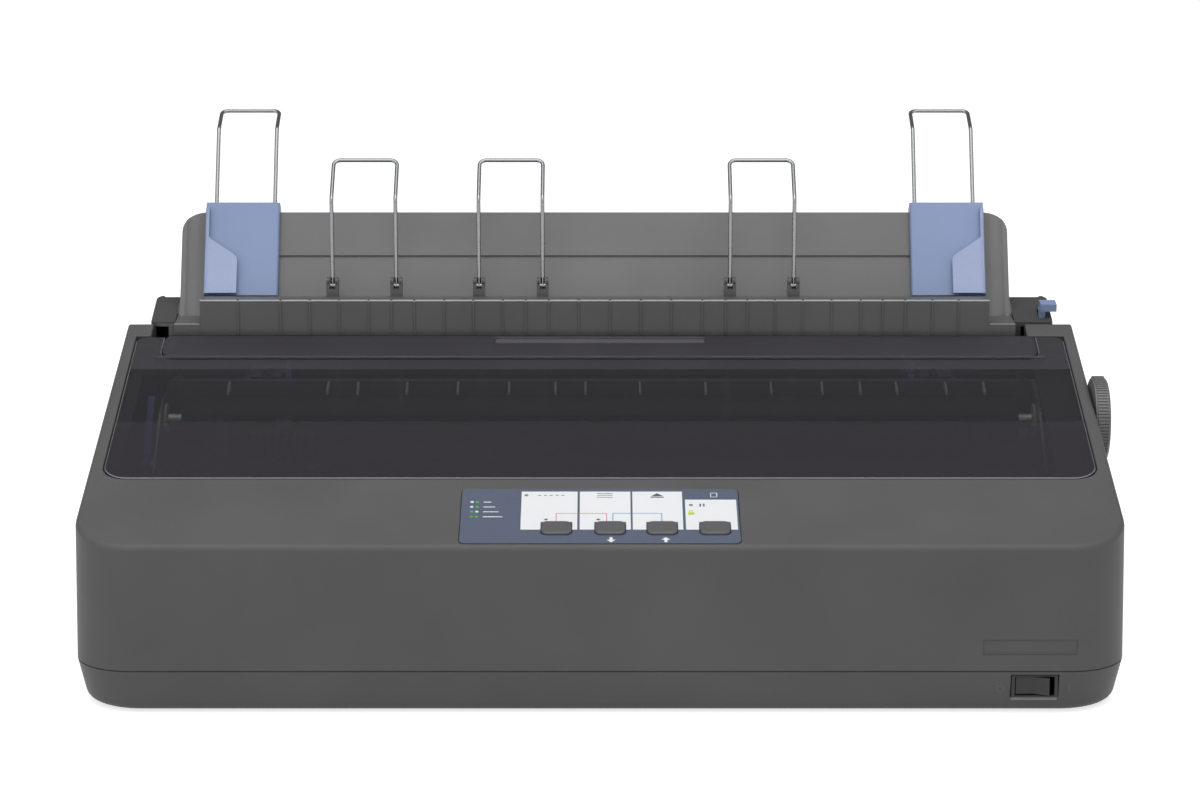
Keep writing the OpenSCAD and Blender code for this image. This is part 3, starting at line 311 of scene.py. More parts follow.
def copy_of(node, name):
    """A merged copy of a node's mesh, with its flat faces whole, for softening."""
    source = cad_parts[node]
    piece = bpy.data.objects.new(name, source.data.copy())
    bpy.context.scene.collection.objects.link(piece)
    piece.data.materials.clear()
    piece.data.transform(CASE.inverted())
    outward(piece)
    pick(piece, "FACE", lambda face: True)
    bpy.ops.mesh.dissolve_limited(angle_limit=math.radians(1))
    let_go()
    return piece


# Materials

def linear(code):
    """A colour written as sRGB hex, as linear RGBA."""
    parts = [int(code[i:i + 2], 16) / 255 for i in (1, 3, 5)]
    return tuple(c / 12.92 if c <= 0.04045 else ((c + 0.055) / 1.055) ** 2.4 for c in parts) + (1,)


def node(tree, kind, inputs=None, **settings):
    """Adds a node with its settings, its input values and its links."""
    made = tree.nodes.new(kind)
    for name, value in settings.items():
        setattr(made, name, value)
    for name, value in (inputs or {}).items():
        if isinstance(value, bpy.types.NodeSocket):
            tree.links.new(value, made.inputs[name])
        else:
            made.inputs[name].default_value = value
    return made


def bare_material(name):
    """A new material with its tree, its shader and its object coordinates."""
    material = bpy.data.materials.new(name)
    material.use_nodes = True
    tree = material.node_tree
    shader = tree.nodes["Principled BSDF"]
    place = node(tree, "ShaderNodeTexCoord").outputs["Object"]
    return material, tree, shader, place


# How wide the clouds of shade are in mm: on plastic, on metal and on smoked plastic
PLASTIC_CLOUD = 60
METAL_CLOUD = 25
SMOKE_CLOUD = 45
# Width of the drawing lines on metal in mm, coarser than real ones so that they show
LINE_W = 0.5


def moulded(name, colour, roughness=0.5, grain=0.6, depth=0.03, cloud=0.08, **fixed):
    """Moulded plastic: a fine spark-eroded grain under faint clouds of shade. grain is the grain's
    width in mm, drawn coarser than the real one so that it shows, and depth its height in mm."""
    material, tree, shader, place = bare_material(name)
    clouds = node(tree, "ShaderNodeTexNoise", {"Vector": place, "Scale": 1 / (PLASTIC_CLOUD * MM),
                                               "Detail": 3})
    shade = node(tree, "ShaderNodeMapRange", {"Value": clouds.outputs["Fac"], "From Min": 0.3,
                                              "From Max": 0.7, "To Min": 1 - cloud, "To Max": 1 + cloud})
    tint = node(tree, "ShaderNodeVectorMath", {0: linear(colour)[:3]}, operation="SCALE")
    tree.links.new(shade.outputs["Result"], tint.inputs["Scale"])
    tree.links.new(tint.outputs["Vector"], shader.inputs["Base Color"])
    speckle = node(tree, "ShaderNodeTexNoise", {"Vector": place, "Scale": 1 / (grain * MM), "Detail": 2})
    rough = node(tree, "ShaderNodeMapRange", {"Value": speckle.outputs["Fac"], "From Min": 0.3,
                                              "From Max": 0.7, "To Min": roughness - 0.05,
                                              "To Max": roughness + 0.05})
    tree.links.new(rough.outputs["Result"], shader.inputs["Roughness"])
    bump = node(tree, "ShaderNodeBump", {"Height": speckle.outputs["Fac"], "Strength": 0.5,
                                         "Distance": depth * MM})
    tree.links.new(bump.outputs["Normal"], shader.inputs["Normal"])
    for socket, value in fixed.items():
        shader.inputs[socket.replace("_", " ")].default_value = value
    return material


def metal(name, colour, roughness=0.3, scratch=None, blotch=0.1):
    """Bare or plated metal. scratch is the direction of its fine drawing lines, as a scale vector."""
    material, tree, shader, place = bare_material(name)
    shader.inputs["Metallic"].default_value = 1
    clouds = node(tree, "ShaderNodeTexNoise", {"Vector": place, "Scale": 1 / (METAL_CLOUD * MM),
                                               "Detail": 4})
    shade = node(tree, "ShaderNodeMapRange", {"Value": clouds.outputs["Fac"], "From Min": 0.3,
                                              "From Max": 0.7, "To Min": 1 - blotch, "To Max": 1})
    tint = node(tree, "ShaderNodeVectorMath", {0: linear(colour)[:3]}, operation="SCALE")
    tree.links.new(shade.outputs["Result"], tint.inputs["Scale"])
    tree.links.new(tint.outputs["Vector"], shader.inputs["Base Color"])
    stretch = node(tree, "ShaderNodeMapping", {"Vector": place, "Scale": scratch or (1, 1, 1)})
    lines = node(tree, "ShaderNodeTexNoise", {"Vector": stretch.outputs["Vector"],
                                              "Scale": 1 / (LINE_W * MM), "Detail": 2})
    rough = node(tree, "ShaderNodeMapRange", {"Value": lines.outputs["Fac"], "From Min": 0.3,
                                              "From Max": 0.7, "To Min": max(roughness - 0.08, 0.02),
                                              "To Max": roughness + 0.08})
    tree.links.new(rough.outputs["Result"], shader.inputs["Roughness"])
    bump = node(tree, "ShaderNodeBump", {"Height": lines.outputs["Fac"], "Strength": 0.15,
                                         "Distance": 0.02 * MM})
    tree.links.new(bump.outputs["Normal"], shader.inputs["Normal"])
    return material


# Grey ABS with a fine eroded grain: dull, a soft sheen on the slope
grey_abs = moulded("grey_textured_abs", "#535353", roughness=0.55, Specular_IOR_Level=0.35)
# Rear casing of the same ABS in a darker grey
dark_abs = moulded("dark_grey_textured_abs", "#424242", roughness=0.55, Specular_IOR_Level=0.35)
# Paper guide: satin moulded polystyrene, finer grain than the case
guide_grey = moulded("guide_grey_satin_polystyrene", "#545455", roughness=0.42, grain=0.4, depth=0.015)
# Back plate: lighter polystyrene, slightly shiny, with wide moulding clouds
plate_grey = moulded("plate_grey_polystyrene", "#656565", roughness=0.36, grain=0.4, depth=0.01, cloud=0.1)
# Edge guides and levers: blue acetal with a satin face
blue_acetal = moulded("blue_satin_acetal", "#8091b6", roughness=0.38, grain=0.5, depth=0.01, cloud=0.04)
# The edge guides' flap fronts are painted paler: a painted sheen for the light that they reflect
blue_painted_sheen = moulded("blue_acetal_painted_sheen", "#95a3c5", roughness=0.3, grain=0.5, depth=0.01, cloud=0.04)
# Thickness lever and tractor locks: the same acetal in a deeper blue, in the shade of the cover
deep_blue = moulded("deep_blue_acetal", "#4868b4", roughness=0.4, grain=0.5, depth=0.01, cloud=0.04)
# Keys: dark soft-coated ABS, satin
key_grey = moulded("dark_satin_key_abs", "#565658", roughness=0.45, grain=0.3, depth=0.01, cloud=0.03)
# Rocker, bezel and inlet: black polyamide, satin with a fine grain
switch_black = moulded("black_polyamide", "#1a1a1c", roughness=0.45, grain=0.4, depth=0.01, cloud=0.03)
# Knob: a lighter ABS, whose ribs catch the light
knob_grey = moulded("grey_ribbed_knob_abs", "#6a6a6a", roughness=0.45, grain=0.4, depth=0.015)
# Cartridge, carriage and tractors: black ABS straight from the mould, satin and plain
black_moulding = moulded("black_moulded_abs", "#1f1f22", roughness=0.4, grain=0.5, depth=0.02)
# Tension bar: grey ABS, its rib fronts painted pale as painted glints of light
bar_grey = moulded("bar_grey_abs", "#5a585c", roughness=0.4, grain=0.5, depth=0.02)
rib_painted_glint = moulded("rib_abs_painted_glint", "#cfccd2", roughness=0.35, grain=0.4, depth=0.01)
# The guide's front top edge and its cheeks' front slopes, painted bright as a painted highlight
guide_painted_highlight = moulded("guide_edge_painted_highlight", "#9c9c9c", roughness=0.35, grain=0.4, depth=0.01)
# Gears, pulleys and bushes: natural acetal, creamy white and a little waxy
gear_white = moulded("natural_acetal", "#e2dfd2", roughness=0.4, grain=0.8, depth=0.005, cloud=0.03)
# Platen: ground rubber, matt with a fine ground tooth
rubber = moulded("ground_nitrile_rubber", "#232323", roughness=0.7, grain=0.5, depth=0.04)
# Feet: soft rubber, dull black
foot_black = moulded("soft_black_rubber", "#1c1c1c", roughness=0.75, grain=0.6, depth=0.03)
# Ribbon: inked nylon, matt, with its weave as a fine grain
inked_cloth = moulded("inked_nylon_ribbon", "#121217", roughness=0.8, grain=0.25, depth=0.05)
# Switch sill: the case's ABS, painted pale as a highlight of the light from above
sill_painted_highlight = moulded("grey_abs_painted_highlight", "#858585", roughness=0.35, grain=0.6, depth=0.005)
# Marks beside the switch: a pale ink, nearly worn away
mark_grey = moulded("case_mark_ink", "#606060", roughness=0.5, grain=0.8, depth=0.003, cloud=0.01)
# Label film: printed polyester, a smooth even film
film_slate = moulded("slate_printed_film", "#565f73", roughness=0.32, grain=0.8, depth=0.003, cloud=0.03)
# Lamp windows: small clear lenses, smooth and glossy
lamp_green, lamp_clear, lamp_grey = (
    moulded(f"{word}_lamp_lens", colour, roughness=0.2, grain=2, depth=0.001, cloud=0.02)
    for word, colour in (("green", "#5fae3e"), ("clear", "#cfe3ea"), ("grey", "#8d8d8d")))
# Screen inks: even, opaque and satin
ink_white, ink_dark, ink_red, ink_blue, ink_lime = (
    moulded(f"{word}_screen_ink", colour, roughness=0.4, grain=0.8, depth=0.003, cloud=0.01)
    for word, colour in (("white", "#e6e8ea"), ("slate", "#4c5668"), ("red", "#d5606a"),
                         ("blue", "#5a7fb4"), ("lime", "#c3d02e")))
# Frame, side plates and screws: zinc plated steel, dull silver with faint blotches
zinc_steel = metal("zinc_plated_sheet_steel", "#a9adb0", roughness=0.38)
# Shafts and rods: ground steel, bright, with lines drawn along them
ground_rod = metal("ground_steel_rod", "#c4c6c8", roughness=0.18, scratch=(0.05, 1, 1))
# Paper supports: nickel plated wire, darker than chrome and softly shiny
plated_wire = metal("nickel_plated_wire", "#919396", roughness=0.24, blotch=0.05)
# Motor cans and print head: steel and alloy with a dull grey plating
motor_can = metal("plated_motor_can", "#6d7175", roughness=0.42)
# Motor pinion: turned brass, warm yellow and fairly bright
brass = metal("turned_brass", "#c9a24a", roughness=0.28, scratch=(0.1, 1, 1))
# Port shells: tin plated, smooth and pale
port_tin = metal("tin_plated_shell", "#b9bcc0", roughness=0.3)


def smoked(name, colour, alpha, roughness):
    """Smoked clear plastic: dark, glossy and partly see-through, with a faint haze in its gloss."""
    material, tree, shader, place = bare_material(name)
    haze = node(tree, "ShaderNodeTexNoise", {"Vector": place, "Scale": 1 / (SMOKE_CLOUD * MM), "Detail": 4})
    rough = node(tree, "ShaderNodeMapRange", {"Value": haze.outputs["Fac"], "From Min": 0.3,
                                              "From Max": 0.7, "To Min": roughness * 0.8,
                                              "To Max": roughness * 1.4})
    tree.links.new(rough.outputs["Result"], shader.inputs["Roughness"])
    ripple = node(tree, "ShaderNodeBump", {"Height": haze.outputs["Fac"], "Strength": 0.1,
                                           "Distance": 0.05 * MM})
    tree.links.new(ripple.outputs["Normal"], shader.inputs["Normal"])
    shader.inputs["Base Color"].default_value = linear(colour)
    shader.inputs["Alpha"].default_value = alpha
    shader.inputs["IOR"].default_value = 1.58
    shader.inputs["Specular IOR Level"].default_value = 0.35
    return material


# Fields of tracks on a board are this wide in mm, and components rise above this height
TRACK_FIELD = 18
BOARD_TOP = 14.2


def circuit(name, mask, parts):
    """Solder mask with darker tracks between its fields, and components above the board's top."""
    material, tree, shader, place = bare_material(name)
    split = node(tree, "ShaderNodeSeparateXYZ", {"Vector": place})
    raised = node(tree, "ShaderNodeMath", {0: split.outputs["Z"], 1: BOARD_TOP * MM},
                  operation="GREATER_THAN")
    tracks = node(tree, "ShaderNodeTexBrick",
                  {"Vector": place, "Scale": 1 / (TRACK_FIELD * MM), "Color1": linear(mask),
                   "Color2": linear("#2c6a44"), "Mortar": linear("#1d4a30"), "Mortar Size": 0.03})
    paint = node(tree, "ShaderNodeMix", data_type="RGBA")
    for index, value in ((0, raised.outputs["Value"]), (6, tracks.outputs["Color"])):
        tree.links.new(value, paint.inputs[index])
    paint.inputs[7].default_value = linear(parts)
    tree.links.new(paint.outputs[2], shader.inputs["Base Color"])
    shader.inputs["Roughness"].default_value = 0.38
    return material


# Smoked polycarbonate of the cover: dark, with a faint violet tinge
smoke = smoked("smoked_polycarbonate", "#322f37", 0.62, 0.2)
# Between the creases the sheet is painted darker, as painted shade, and is glossier. Behind them, and on
# the flap, it is painted paler, as painted light, and is matt: the facets' slopes take the light differently
smoke_painted_dark = smoked("smoked_polycarbonate_painted_shade", "#28262b", 0.5, 0.12)
smoke_painted_pale = smoked("smoked_polycarbonate_painted_light", "#3d3b41", 0.66, 0.4)
# The finger's place in the flap is milled and looks paler
smoke_milled = smoked("smoked_polycarbonate_milled", "#56535b", 0.85, 0.45)
# Rounded edges are painted pale and solid: a painted highlight of the light that they gather
smoke_painted_rim = smoked("smoked_polycarbonate_painted_rim_highlight", "#817d87", 1, 0.25)
# Boards inside the case: a green solder mask, and brown board under the power supply, both satin
board_green = circuit("solder_masked_board", "#2f7048", "#1b1b1d")
supply_board = circuit("paper_phenolic_board", "#a98c4a", "#3a3a3e")
# Carriage belt: ribbed rubber, matt black
belt_rubber = moulded("ribbed_neoprene_belt", "#161616", roughness=0.7, grain=0.6, depth=0.04)


# Case

def case_block(name, inset, y1):
    """The case above its seam as a solid, drawn in all round: sloped top, leaning walls."""
    hw = HALF_W - inset
    # Its height doesn't matter: the rule below gives every upper corner its own
    piece = block(name, (-hw, inset, SEAM_H), (hw, y1, SEAM_H + 60))

    def lean(p):
        if p.z > SEAM_H + 1:
            front = p.y < inset + 1
            p.z = top_z(p.y) - inset / math.cos(SLOPE)
            p.x -= math.copysign(wall_in(p.z), p.x)
            if front:
                p.y += wall_in(p.z)
                p.z = top_z(p.y) - inset / math.cos(SLOPE)
        return p
    reshape(piece, lean)
    return round_edges(piece, CORNER_R - inset, 14,
                       lambda e: upright(e) and ends(e)[0].y < inset + 5)


def top_slab(name, x0, x1, u0, u1, n0, n1, r_front, r_back):
    """A slab in the frame of the sloped top, with round corners, put into the case's frame."""
    piece = block(name, (x0, u0, n0), (x1, u1, n1))
    round_edges(piece, r_front, 8, lambda e: upright(e) and ends(e)[0].y < u0 + 0.1)
    round_edges(piece, r_back, 6, lambda e: upright(e) and ends(e)[0].y > u1 - 0.1)
    return put(piece, ON_TOP)


def top_block(name, low, high):
    """A block in the frame of the sloped top, put into the case's frame."""
    return put(block(name, low, high), ON_TOP)


def depth(point):
    """How far a point of the case's frame lies above the sloped top."""
    return (ON_TOP.inverted() @ point).z


def in_top(edge):
    """True for an edge that lies in the sloped top."""
    return all(abs(depth(point)) < 0.02 for point in ends(edge))


def key_hole(x, low, high):
    """Room for a key and the gap round it, between two heights over the sloped top."""
    return block("key_hole", (x - BUTTON_W / 2 - GAP, BUTTON_U - GAP, low),
                 (x + BUTTON_W / 2 + GAP, BUTTON_U + BUTTON_L + GAP, high))


# Ledge under the cover, and the cover's corners at the front and at the rear
LEDGE_DEPTH = COVER_T + 0.3
LEDGE_T = 2.2
COVER_R = 13
COVER_REAR_R = 6
# Inner sides of the arms beside the paper guide, with room for its cheeks
ARM_IN = 237.2 + 3.5
ARM_LEFT = ARM_IN - GUIDE_X
ARM_RIGHT = ARM_IN + GUIDE_X
# Screws that hold the two cases together: places, bosses, threads, through holes and heads
SCREW_XY = [(x * (HALF_W - 10), y) for x in (-1, 1) for y in (42, ARM_END - 14)]
BOSS_R = 5
THREAD_R = 2.05
SCREW_HOLE_R = 2.25
SCREW_HEAD_R = 4.25
# Rounding of the top's edges, and of the tray's bottom edge
TOP_EDGE_R = 3
TRAY_EDGE_R = 4.5
# The lugs of the cover's pins, and the pockets beside them
LUG_X = COVER_HW + GAP + 2.6
LUG_HALF = 2.6
POCKET_X = COVER_HW - 10.3
POCKET_HALF = 10.7
# Place of a model plate in the front: left, right, bottom and top
PLATE_PLACE = (194.5, 242.5, 32.4, 40.3)
# Label of the control panel: half width, lower edge, length and corners
PANEL_HW = 71.3
PANEL_U = up(4)
PANEL_L = 55
PANEL_R = 3
KEY_R = 3


def upper_shell():
    """Upper case: one moulding with the cover's recess, the arms beside it and the panel's place."""
    shell = case_block("upper_shell", 0, ARM_END)
    round_edges(shell, TOP_EDGE_R, 5, lambda e: in_top(e) and sharp(e))
    cavity = case_block("cavity", WALL, ARM_END - WALL)
    reshape(cavity, lambda p: Vector((p.x, p.y, p.z if p.z > SEAM_H + 1 else SEAM_H - 2)))
    # The ledge under the cover, the lugs of its pins and the bosses stay
    keep = [top_slab("ledge", -HALF_W, HALF_W, COVER_U0 - 8, COVER_U1 + 2,
                     -LEDGE_DEPTH - LEDGE_T, 0, 1, 1)]
    keep += [top_block("lug", (x - LUG_HALF, HINGE_U - 6, -8), (x + LUG_HALF, HINGE_U + 7, 0))
             for x in (-LUG_X, LUG_X)]
    keep += [rod("boss", BOSS_R, "Z", (x, y, SEAM_H - 3), 29, 24) for x, y in SCREW_XY]
    cut(cavity, *keep)
    recess = COVER_HW + GAP
    left, right, bottom, top = PLATE_PLACE
    tools = [
        cavity,
        top_slab("recess", -recess, recess, COVER_U0 - GAP, COVER_U1 + 1.8, -LEDGE_DEPTH, 5,
                 COVER_R, COVER_REAR_R),
        top_slab("opening", -COVER_HW + 7.7, COVER_HW - 20, COVER_U0 + 8, COVER_U1 + 60, -40, 5, 6, 1),
        block("back", (-ARM_LEFT, 225, SEAM_H - 5), (ARM_RIGHT, ARM_END + 9, 300)),
        block("rear_opening", (-REAR_LEFT + WALL, ARM_END - WALL - 1, SEAM_H - 5),
              (REAR_RIGHT - WALL, ARM_END + 9, top_z(ARM_END) - 20)),
        rod("shaft_hole", 8, "X", (HALF_W - 20, PLATEN_Y, PLATEN_Z), 30),
        top_slab("panel_place", -PANEL_HW - 0.2, PANEL_HW + 0.2, PANEL_U - 0.2,
                 PANEL_U + PANEL_L + 0.2, -1, 5, PANEL_R, PANEL_R),
        block("plate_place", (left, -5, bottom), (right, 0.75, top)),
    ]
    tools += [top_block("pocket", (x - POCKET_HALF, HINGE_U - 8.5, -12), (x + POCKET_HALF, HINGE_U + 8, 5))
              for x in (-POCKET_X, POCKET_X)]
    tools += [put(key_hole(x, -9, 5), ON_TOP) for x in BUTTON_X]
    tools += [rod("screw_hole", THREAD_R, "Z", (x, y, SEAM_H - 5), 24, 16) for x, y in SCREW_XY]
    cut(shell, *tools)
    # Soft rims round what is cut into the top
    round_edges(shell, 0.7, 3, lambda e: in_top(e) and sharp(e, 60))
    # The wall steps in just above the seam, so that a fine dark line shows there
    groove = block("seam_outer", (-HALF_W - 30, -20, SEAM_H - 1), (HALF_W + 30, ARM_END + 20, SEAM_H + 0.7))
    core = case_block("seam_core", 0.7, ARM_END - 0.7)
    reshape(core, lambda p: Vector((p.x, p.y, p.z if p.z > SEAM_H + 1 else SEAM_H - 5)))
    cut(groove, core)
    cut(shell, groove)
    finish(shell, CASE, "printer_body", grey_abs, ["upper_case"])


def tray_block(name, inset, z0, rear):
    """The lower case as a solid: the wide front part, or the narrower rear part."""
    lean = (SEAM_H - FOOT_H) * math.tan(TRAY_LEAN)
    x0, x1, y0, y1 = (-HALF_W, HALF_W, 0, ARM_END)
    if rear:
        x0, x1, y0, y1 = (-REAR_LEFT, REAR_RIGHT, 60, CASE_D)
    piece = block(name, (x0 + inset, y0 + inset, FOOT_H), (x1 - inset, y1 - inset, SEAM_H))

    def draw_in(p):
        if p.z < SEAM_H - 1:
            if not rear:
                p.x -= math.copysign(lean, p.x)
            if p.y < 1 + inset:
                p.y += lean
            if p.y > CASE_D - 10:
                p.y -= lean / 2
            p.z = z0
        return p
    reshape(piece, draw_in)
    if not rear:
        round_edges(piece, CORNER_R - inset, 14, lambda e: upright(e) and ends(e)[0].y < 20)
    if not inset:
        # The bottom edge is rounded well, since the case is seen from low down
        round_edges(piece, TRAY_EDGE_R, 5, lambda e: all(p.z < FOOT_H + 0.1 for p in ends(e))
                    and min(p.y for p in ends(e)) < (60 if not rear else 0) + ARM_END - 1)
    return piece


# Places of what stands in the tray: boards, base frame and feet
BOARD_XY = [(x, y) for x in (-32, 142) for y in (158, 245)]
SUPPLY_XY = [(x, y) for x in (-202, -98) for y in (93, 207)]
BASE_XY = [(x * 224, y) for x in (-1, -1 / 3, 1 / 3, 1) for y in (70, 214)]
FOOT_XY = [(x * (HALF_W - 45), y) for x in (-1, 1) for y in (34, CASE_D - 34)]
# Round places of the feet, and heights of what the boards and the base frame stand on
FOOT_PLACE_R = 9.1
STANDOFF_TOP = 12
PILLAR_TOP = 27
# Opening of the switch: its middle and its half width and height
SWITCH_X = HALF_W - 48.2
SWITCH_Z = SEAM_H - 7.8
SWITCH_HW = 12.3
SWITCH_HH = 6.35
# Interface ports: the middle, width and height of each, and the height that they stand on
PORTS = [(100, 72, 16), (24, 13, 11)]
PORT_Z = 12.6


def lower_shell():
    """Lower case: a tray whose walls lean in towards the table."""
    tray = add(tray_block("lower_shell", 0, FOOT_H, False), tray_block("rear_part", 0, FOOT_H, True))
    hollow = add(tray_block("hollow", WALL, FOOT_H + WALL, False),
                 tray_block("rear_hollow", WALL, FOOT_H + WALL, True))
    reshape(hollow, lambda p: Vector((p.x, p.y, p.z if p.z < SEAM_H - 0.1 else SEAM_H + 3)))
    bosses = [rod("boss", BOSS_R, "Z", (x, y, FOOT_H - 1), 30, 24) for x, y in SCREW_XY]
    bosses += [rod("standoff", 3, "Z", (x, y, FOOT_H - 1), STANDOFF_TOP - FOOT_H, 20)
               for x, y in BOARD_XY + SUPPLY_XY]
    bosses += [rod("pillar", 4, "Z", (x, y, FOOT_H - 1), PILLAR_TOP - FOOT_H, 20) for x, y in BASE_XY]
    cut(hollow, *bosses)
    tools = [hollow]
    for x, y in SCREW_XY:
        tools.append(rod("screw_hole", SCREW_HOLE_R, "Z", (x, y, -5), 40, 16))
        tools.append(rod("head_place", SCREW_HEAD_R, "Z", (x, y, -5), FOOT_H + 11, 24))
    tools += [rod("foot_place", FOOT_PLACE_R, "Z", (x, y, -5), FOOT_H + 6, 32) for x, y in FOOT_XY]
    tools.append(block("switch_place", (SWITCH_X - SWITCH_HW, -5, SWITCH_Z - SWITCH_HH),
                       (SWITCH_X + SWITCH_HW, 20, SWITCH_Z + SWITCH_HH)))
    tools += [block("port_place", (x - w / 2 - GAP, CASE_D - 12, PORT_Z - GAP),
                    (x + w / 2 + GAP, CASE_D + 5, PORT_Z + h + GAP)) for x, w, h in PORTS]
    cut(tray, *tools)
    finish(tray, CASE, "printer_body", grey_abs, ["lower_case"])


upper_shell()
lower_shell()


# Cover and flap

# The two creases across the cover
CREASE_U = [up(128), up(186)]
CREASE_HALF = 0.45
FLAP_HW = COVER_HW - 16
# Top of the cover's sheet over the sloped top, and its plain smoke with painted shade, light and rim
# highlight
SHEET_TOP = 0.3
COVER_PAINTED_BANDS = [smoke, smoke_painted_dark, smoke_painted_pale, smoke_painted_rim]
# The finger's hollow at the flap's rear edge: its half width and its floor over the flap's middle
HOLLOW_HW = 58.5
HOLLOW_Z = 0.8
# The flap: half of its thickness and its front corners
FLAP_HALF = 1.6
FLAP_R = 9
# Hinge of the cover: barrels and pins, and the height at which what hangs below sinks into the sheet
BARREL_R = 3
COVER_PIN_R = 1.9
UNDERSIDE = SHEET_TOP - COVER_T + 0.05


def wear(piece, *materials):
    """Gives a mesh its materials before other pieces are joined to it, so that its faces keep theirs."""
    for material in materials:
        piece.data.materials.append(material)
    return piece


def main_cover():
    """Smoked cover: one sheet with round corners, two creases across and a place for the flap."""
    half = COVER_HW - 0.4
    sheet = block("smoked_cover", (-half, COVER_U0, SHEET_TOP - COVER_T), (half, COVER_U1, SHEET_TOP))
    round_edges(sheet, COVER_R, 10, lambda e: upright(e) and ends(e)[0].y < COVER_U0 + 0.1)
    round_edges(sheet, COVER_REAR_R, 6, lambda e: upright(e) and ends(e)[0].y > COVER_U1 - 0.1)
    notch = block("notch", (-FLAP_HW, FLAP_U0 - 1.6 - GAP, -9), (FLAP_HW, COVER_U1 + 5, 9))
    round_edges(notch, FLAP_R + GAP, 8, lambda e: upright(e) and ends(e)[0].y < FLAP_U0)
    creases = [plate_of("crease", [(-CREASE_HALF, 0.35), (0, -0.3), (CREASE_HALF, 0.35)],
                        lambda a, b, u=u: Vector((-half - 1, u + a, b)), (2 * half + 2, 0, 0))
               for u in CREASE_U]
    cut(sheet, notch, *creases)
    round_edges(sheet, 0.8, 4, lambda e: higher(e, SHEET_TOP - 0.01) and sharp(e, 60))
    round_edges(sheet, 0.4, 2, lambda e: all(p.z < SHEET_TOP - COVER_T + 0.01 for p in ends(e))
                and sharp(e, 80))
    wear(sheet, *COVER_PAINTED_BANDS)
    pick(sheet, "FACE", lambda face: True)
    for u in CREASE_U:
        bpy.ops.mesh.select_all(action="SELECT")
        bpy.ops.mesh.bisect(plane_co=(0, u, 0), plane_no=(0, 1, 0))
    let_go()
    # Three bands: the front plain, the middle in painted shade, the rear in painted light. Rounded edges that
    # slant upwards get the painted rim highlight, and the creases' own flanks the middle band's painted shade
    for face in sheet.data.polygons:
        face.material_index = sum(face.center.y > u for u in CREASE_U)
        if 0.2 < face.normal.z < 0.97:
            face.material_index = 3
        if any(abs(face.center.y - u) < 0.5 for u in CREASE_U):
            face.material_index = 1
    parts = [block("front_rim", (-COVER_HW + 13, COVER_U0 + 8.5, -4.5),
                   (COVER_HW - 24, COVER_U0 + 10, UNDERSIDE))]
    for side in (-1, 1):
        x = side * (COVER_HW - 5.6)
        parts.append(rod("barrel", BARREL_R, "X", (x - 5, HINGE_U, HINGE_N), 10))
        parts.append(rod("pin", COVER_PIN_R, "X", (side * (COVER_HW - 2) - 5.8, HINGE_U, HINGE_N), 11.6, 24))
        parts.append(block("web", (x - 5, HINGE_U - BARREL_R, HINGE_N),
                           (x + 5, HINGE_U + BARREL_R, UNDERSIDE)))
    for part in parts:
        soften(part, 0.3)
        wear(part, smoke)
    joined(sheet, *parts)
    finish(sheet, TOP, "cover", COVER_PAINTED_BANDS, ["main_cover"])


def flap():
    """Smoked flap: a sheet with round front corners that turns on two small pins at its front."""
    hw = FLAP_HW - GAP
    sheet = block("smoked_flap", (-hw, FLAP_U0 - 1.5, -FLAP_HALF), (hw, COVER_U1, FLAP_HALF))
    round_edges(sheet, FLAP_R, 8, lambda e: upright(e) and ends(e)[0].y < FLAP_U0 + 0.1)
    round_edges(sheet, 5, 5, lambda e: upright(e) and ends(e)[0].y > COVER_U1 - 0.1)
    hollow = block("finger_hollow", (-HOLLOW_HW, COVER_U1 - 9, HOLLOW_Z), (HOLLOW_HW, COVER_U1 - 3.4, 5))
    round_edges(hollow, 1.5, 4, upright)
    cut(sheet, hollow)
    round_edges(sheet, 1.3, 4, lambda e: all(abs(p.z) > FLAP_HALF - 0.01 for p in ends(e)) and sharp(e, 80))
    wear(sheet, smoke_painted_pale, smoke_milled)
    # The hollow's floor is milled
    for face in sheet.data.polygons:
        if abs(face.center.x) < HOLLOW_HW and abs(face.center.z - HOLLOW_Z) < 0.1 and face.normal.z > 0.9:
            face.material_index = 1
    pins = [rod("pin", 1.2, "X", (side * (hw - 2.6) - 6.2, FLAP_U0 + 0.05, 0), 12.4, 20)
            for side in (-1, 1)]
    for pin in pins:
        wear(pin, smoke_painted_pale)
    joined(sheet, *pins)
    finish(sheet, TOP, "flap", [smoke_painted_pale, smoke_milled], ["cover_flap"])


main_cover()
flap()


# Control panel

# Height of the film over the sloped top and of its inks over the film, and how deep inks reach into it
FILM_N = 0.2
INK_T = 0.05
FIELD_T = 0.03
SIGN_T = 0.08
LENS_T = 0.25
SUNK = 0.02


def panel_film():
    """Label film in its shallow place, with holes for the keys."""
    film = block("panel_film", (-PANEL_HW, PANEL_U, -1), (PANEL_HW, PANEL_U + PANEL_L, FILM_N))
    round_edges(film, PANEL_R, 5, upright)
    holes = [key_hole(x, -5, 5) for x in BUTTON_X]
    for hole in holes:
        round_edges(hole, KEY_R + 0.3, 5, upright)
    cut(film, *holes)
    soften(film, 0.15)
    finish(film, TOP, "printer_body", film_slate, ["control_panel"])


def bar(x0, u0, x1, u1, height=INK_T):
    """A printed bar or field on the film."""
    return block("bar", (x0, u0, FILM_N - SUNK), (x1, u1, FILM_N + height))


def dot(x, u, radius, height=INK_T, sides=20):
    """A printed dot, or with four sides a diamond."""
    return rod("dot", radius, "Z", (x, u, FILM_N - SUNK), height + SUNK, sides)


def sign(name, outline, x, u, height=INK_T):
    """A printed sign with an outline of its own."""
    return plate_of(name, outline, lambda a, b: Vector((x + a, u + b, FILM_N - SUNK)),
                    (0, 0, height + SUNK))


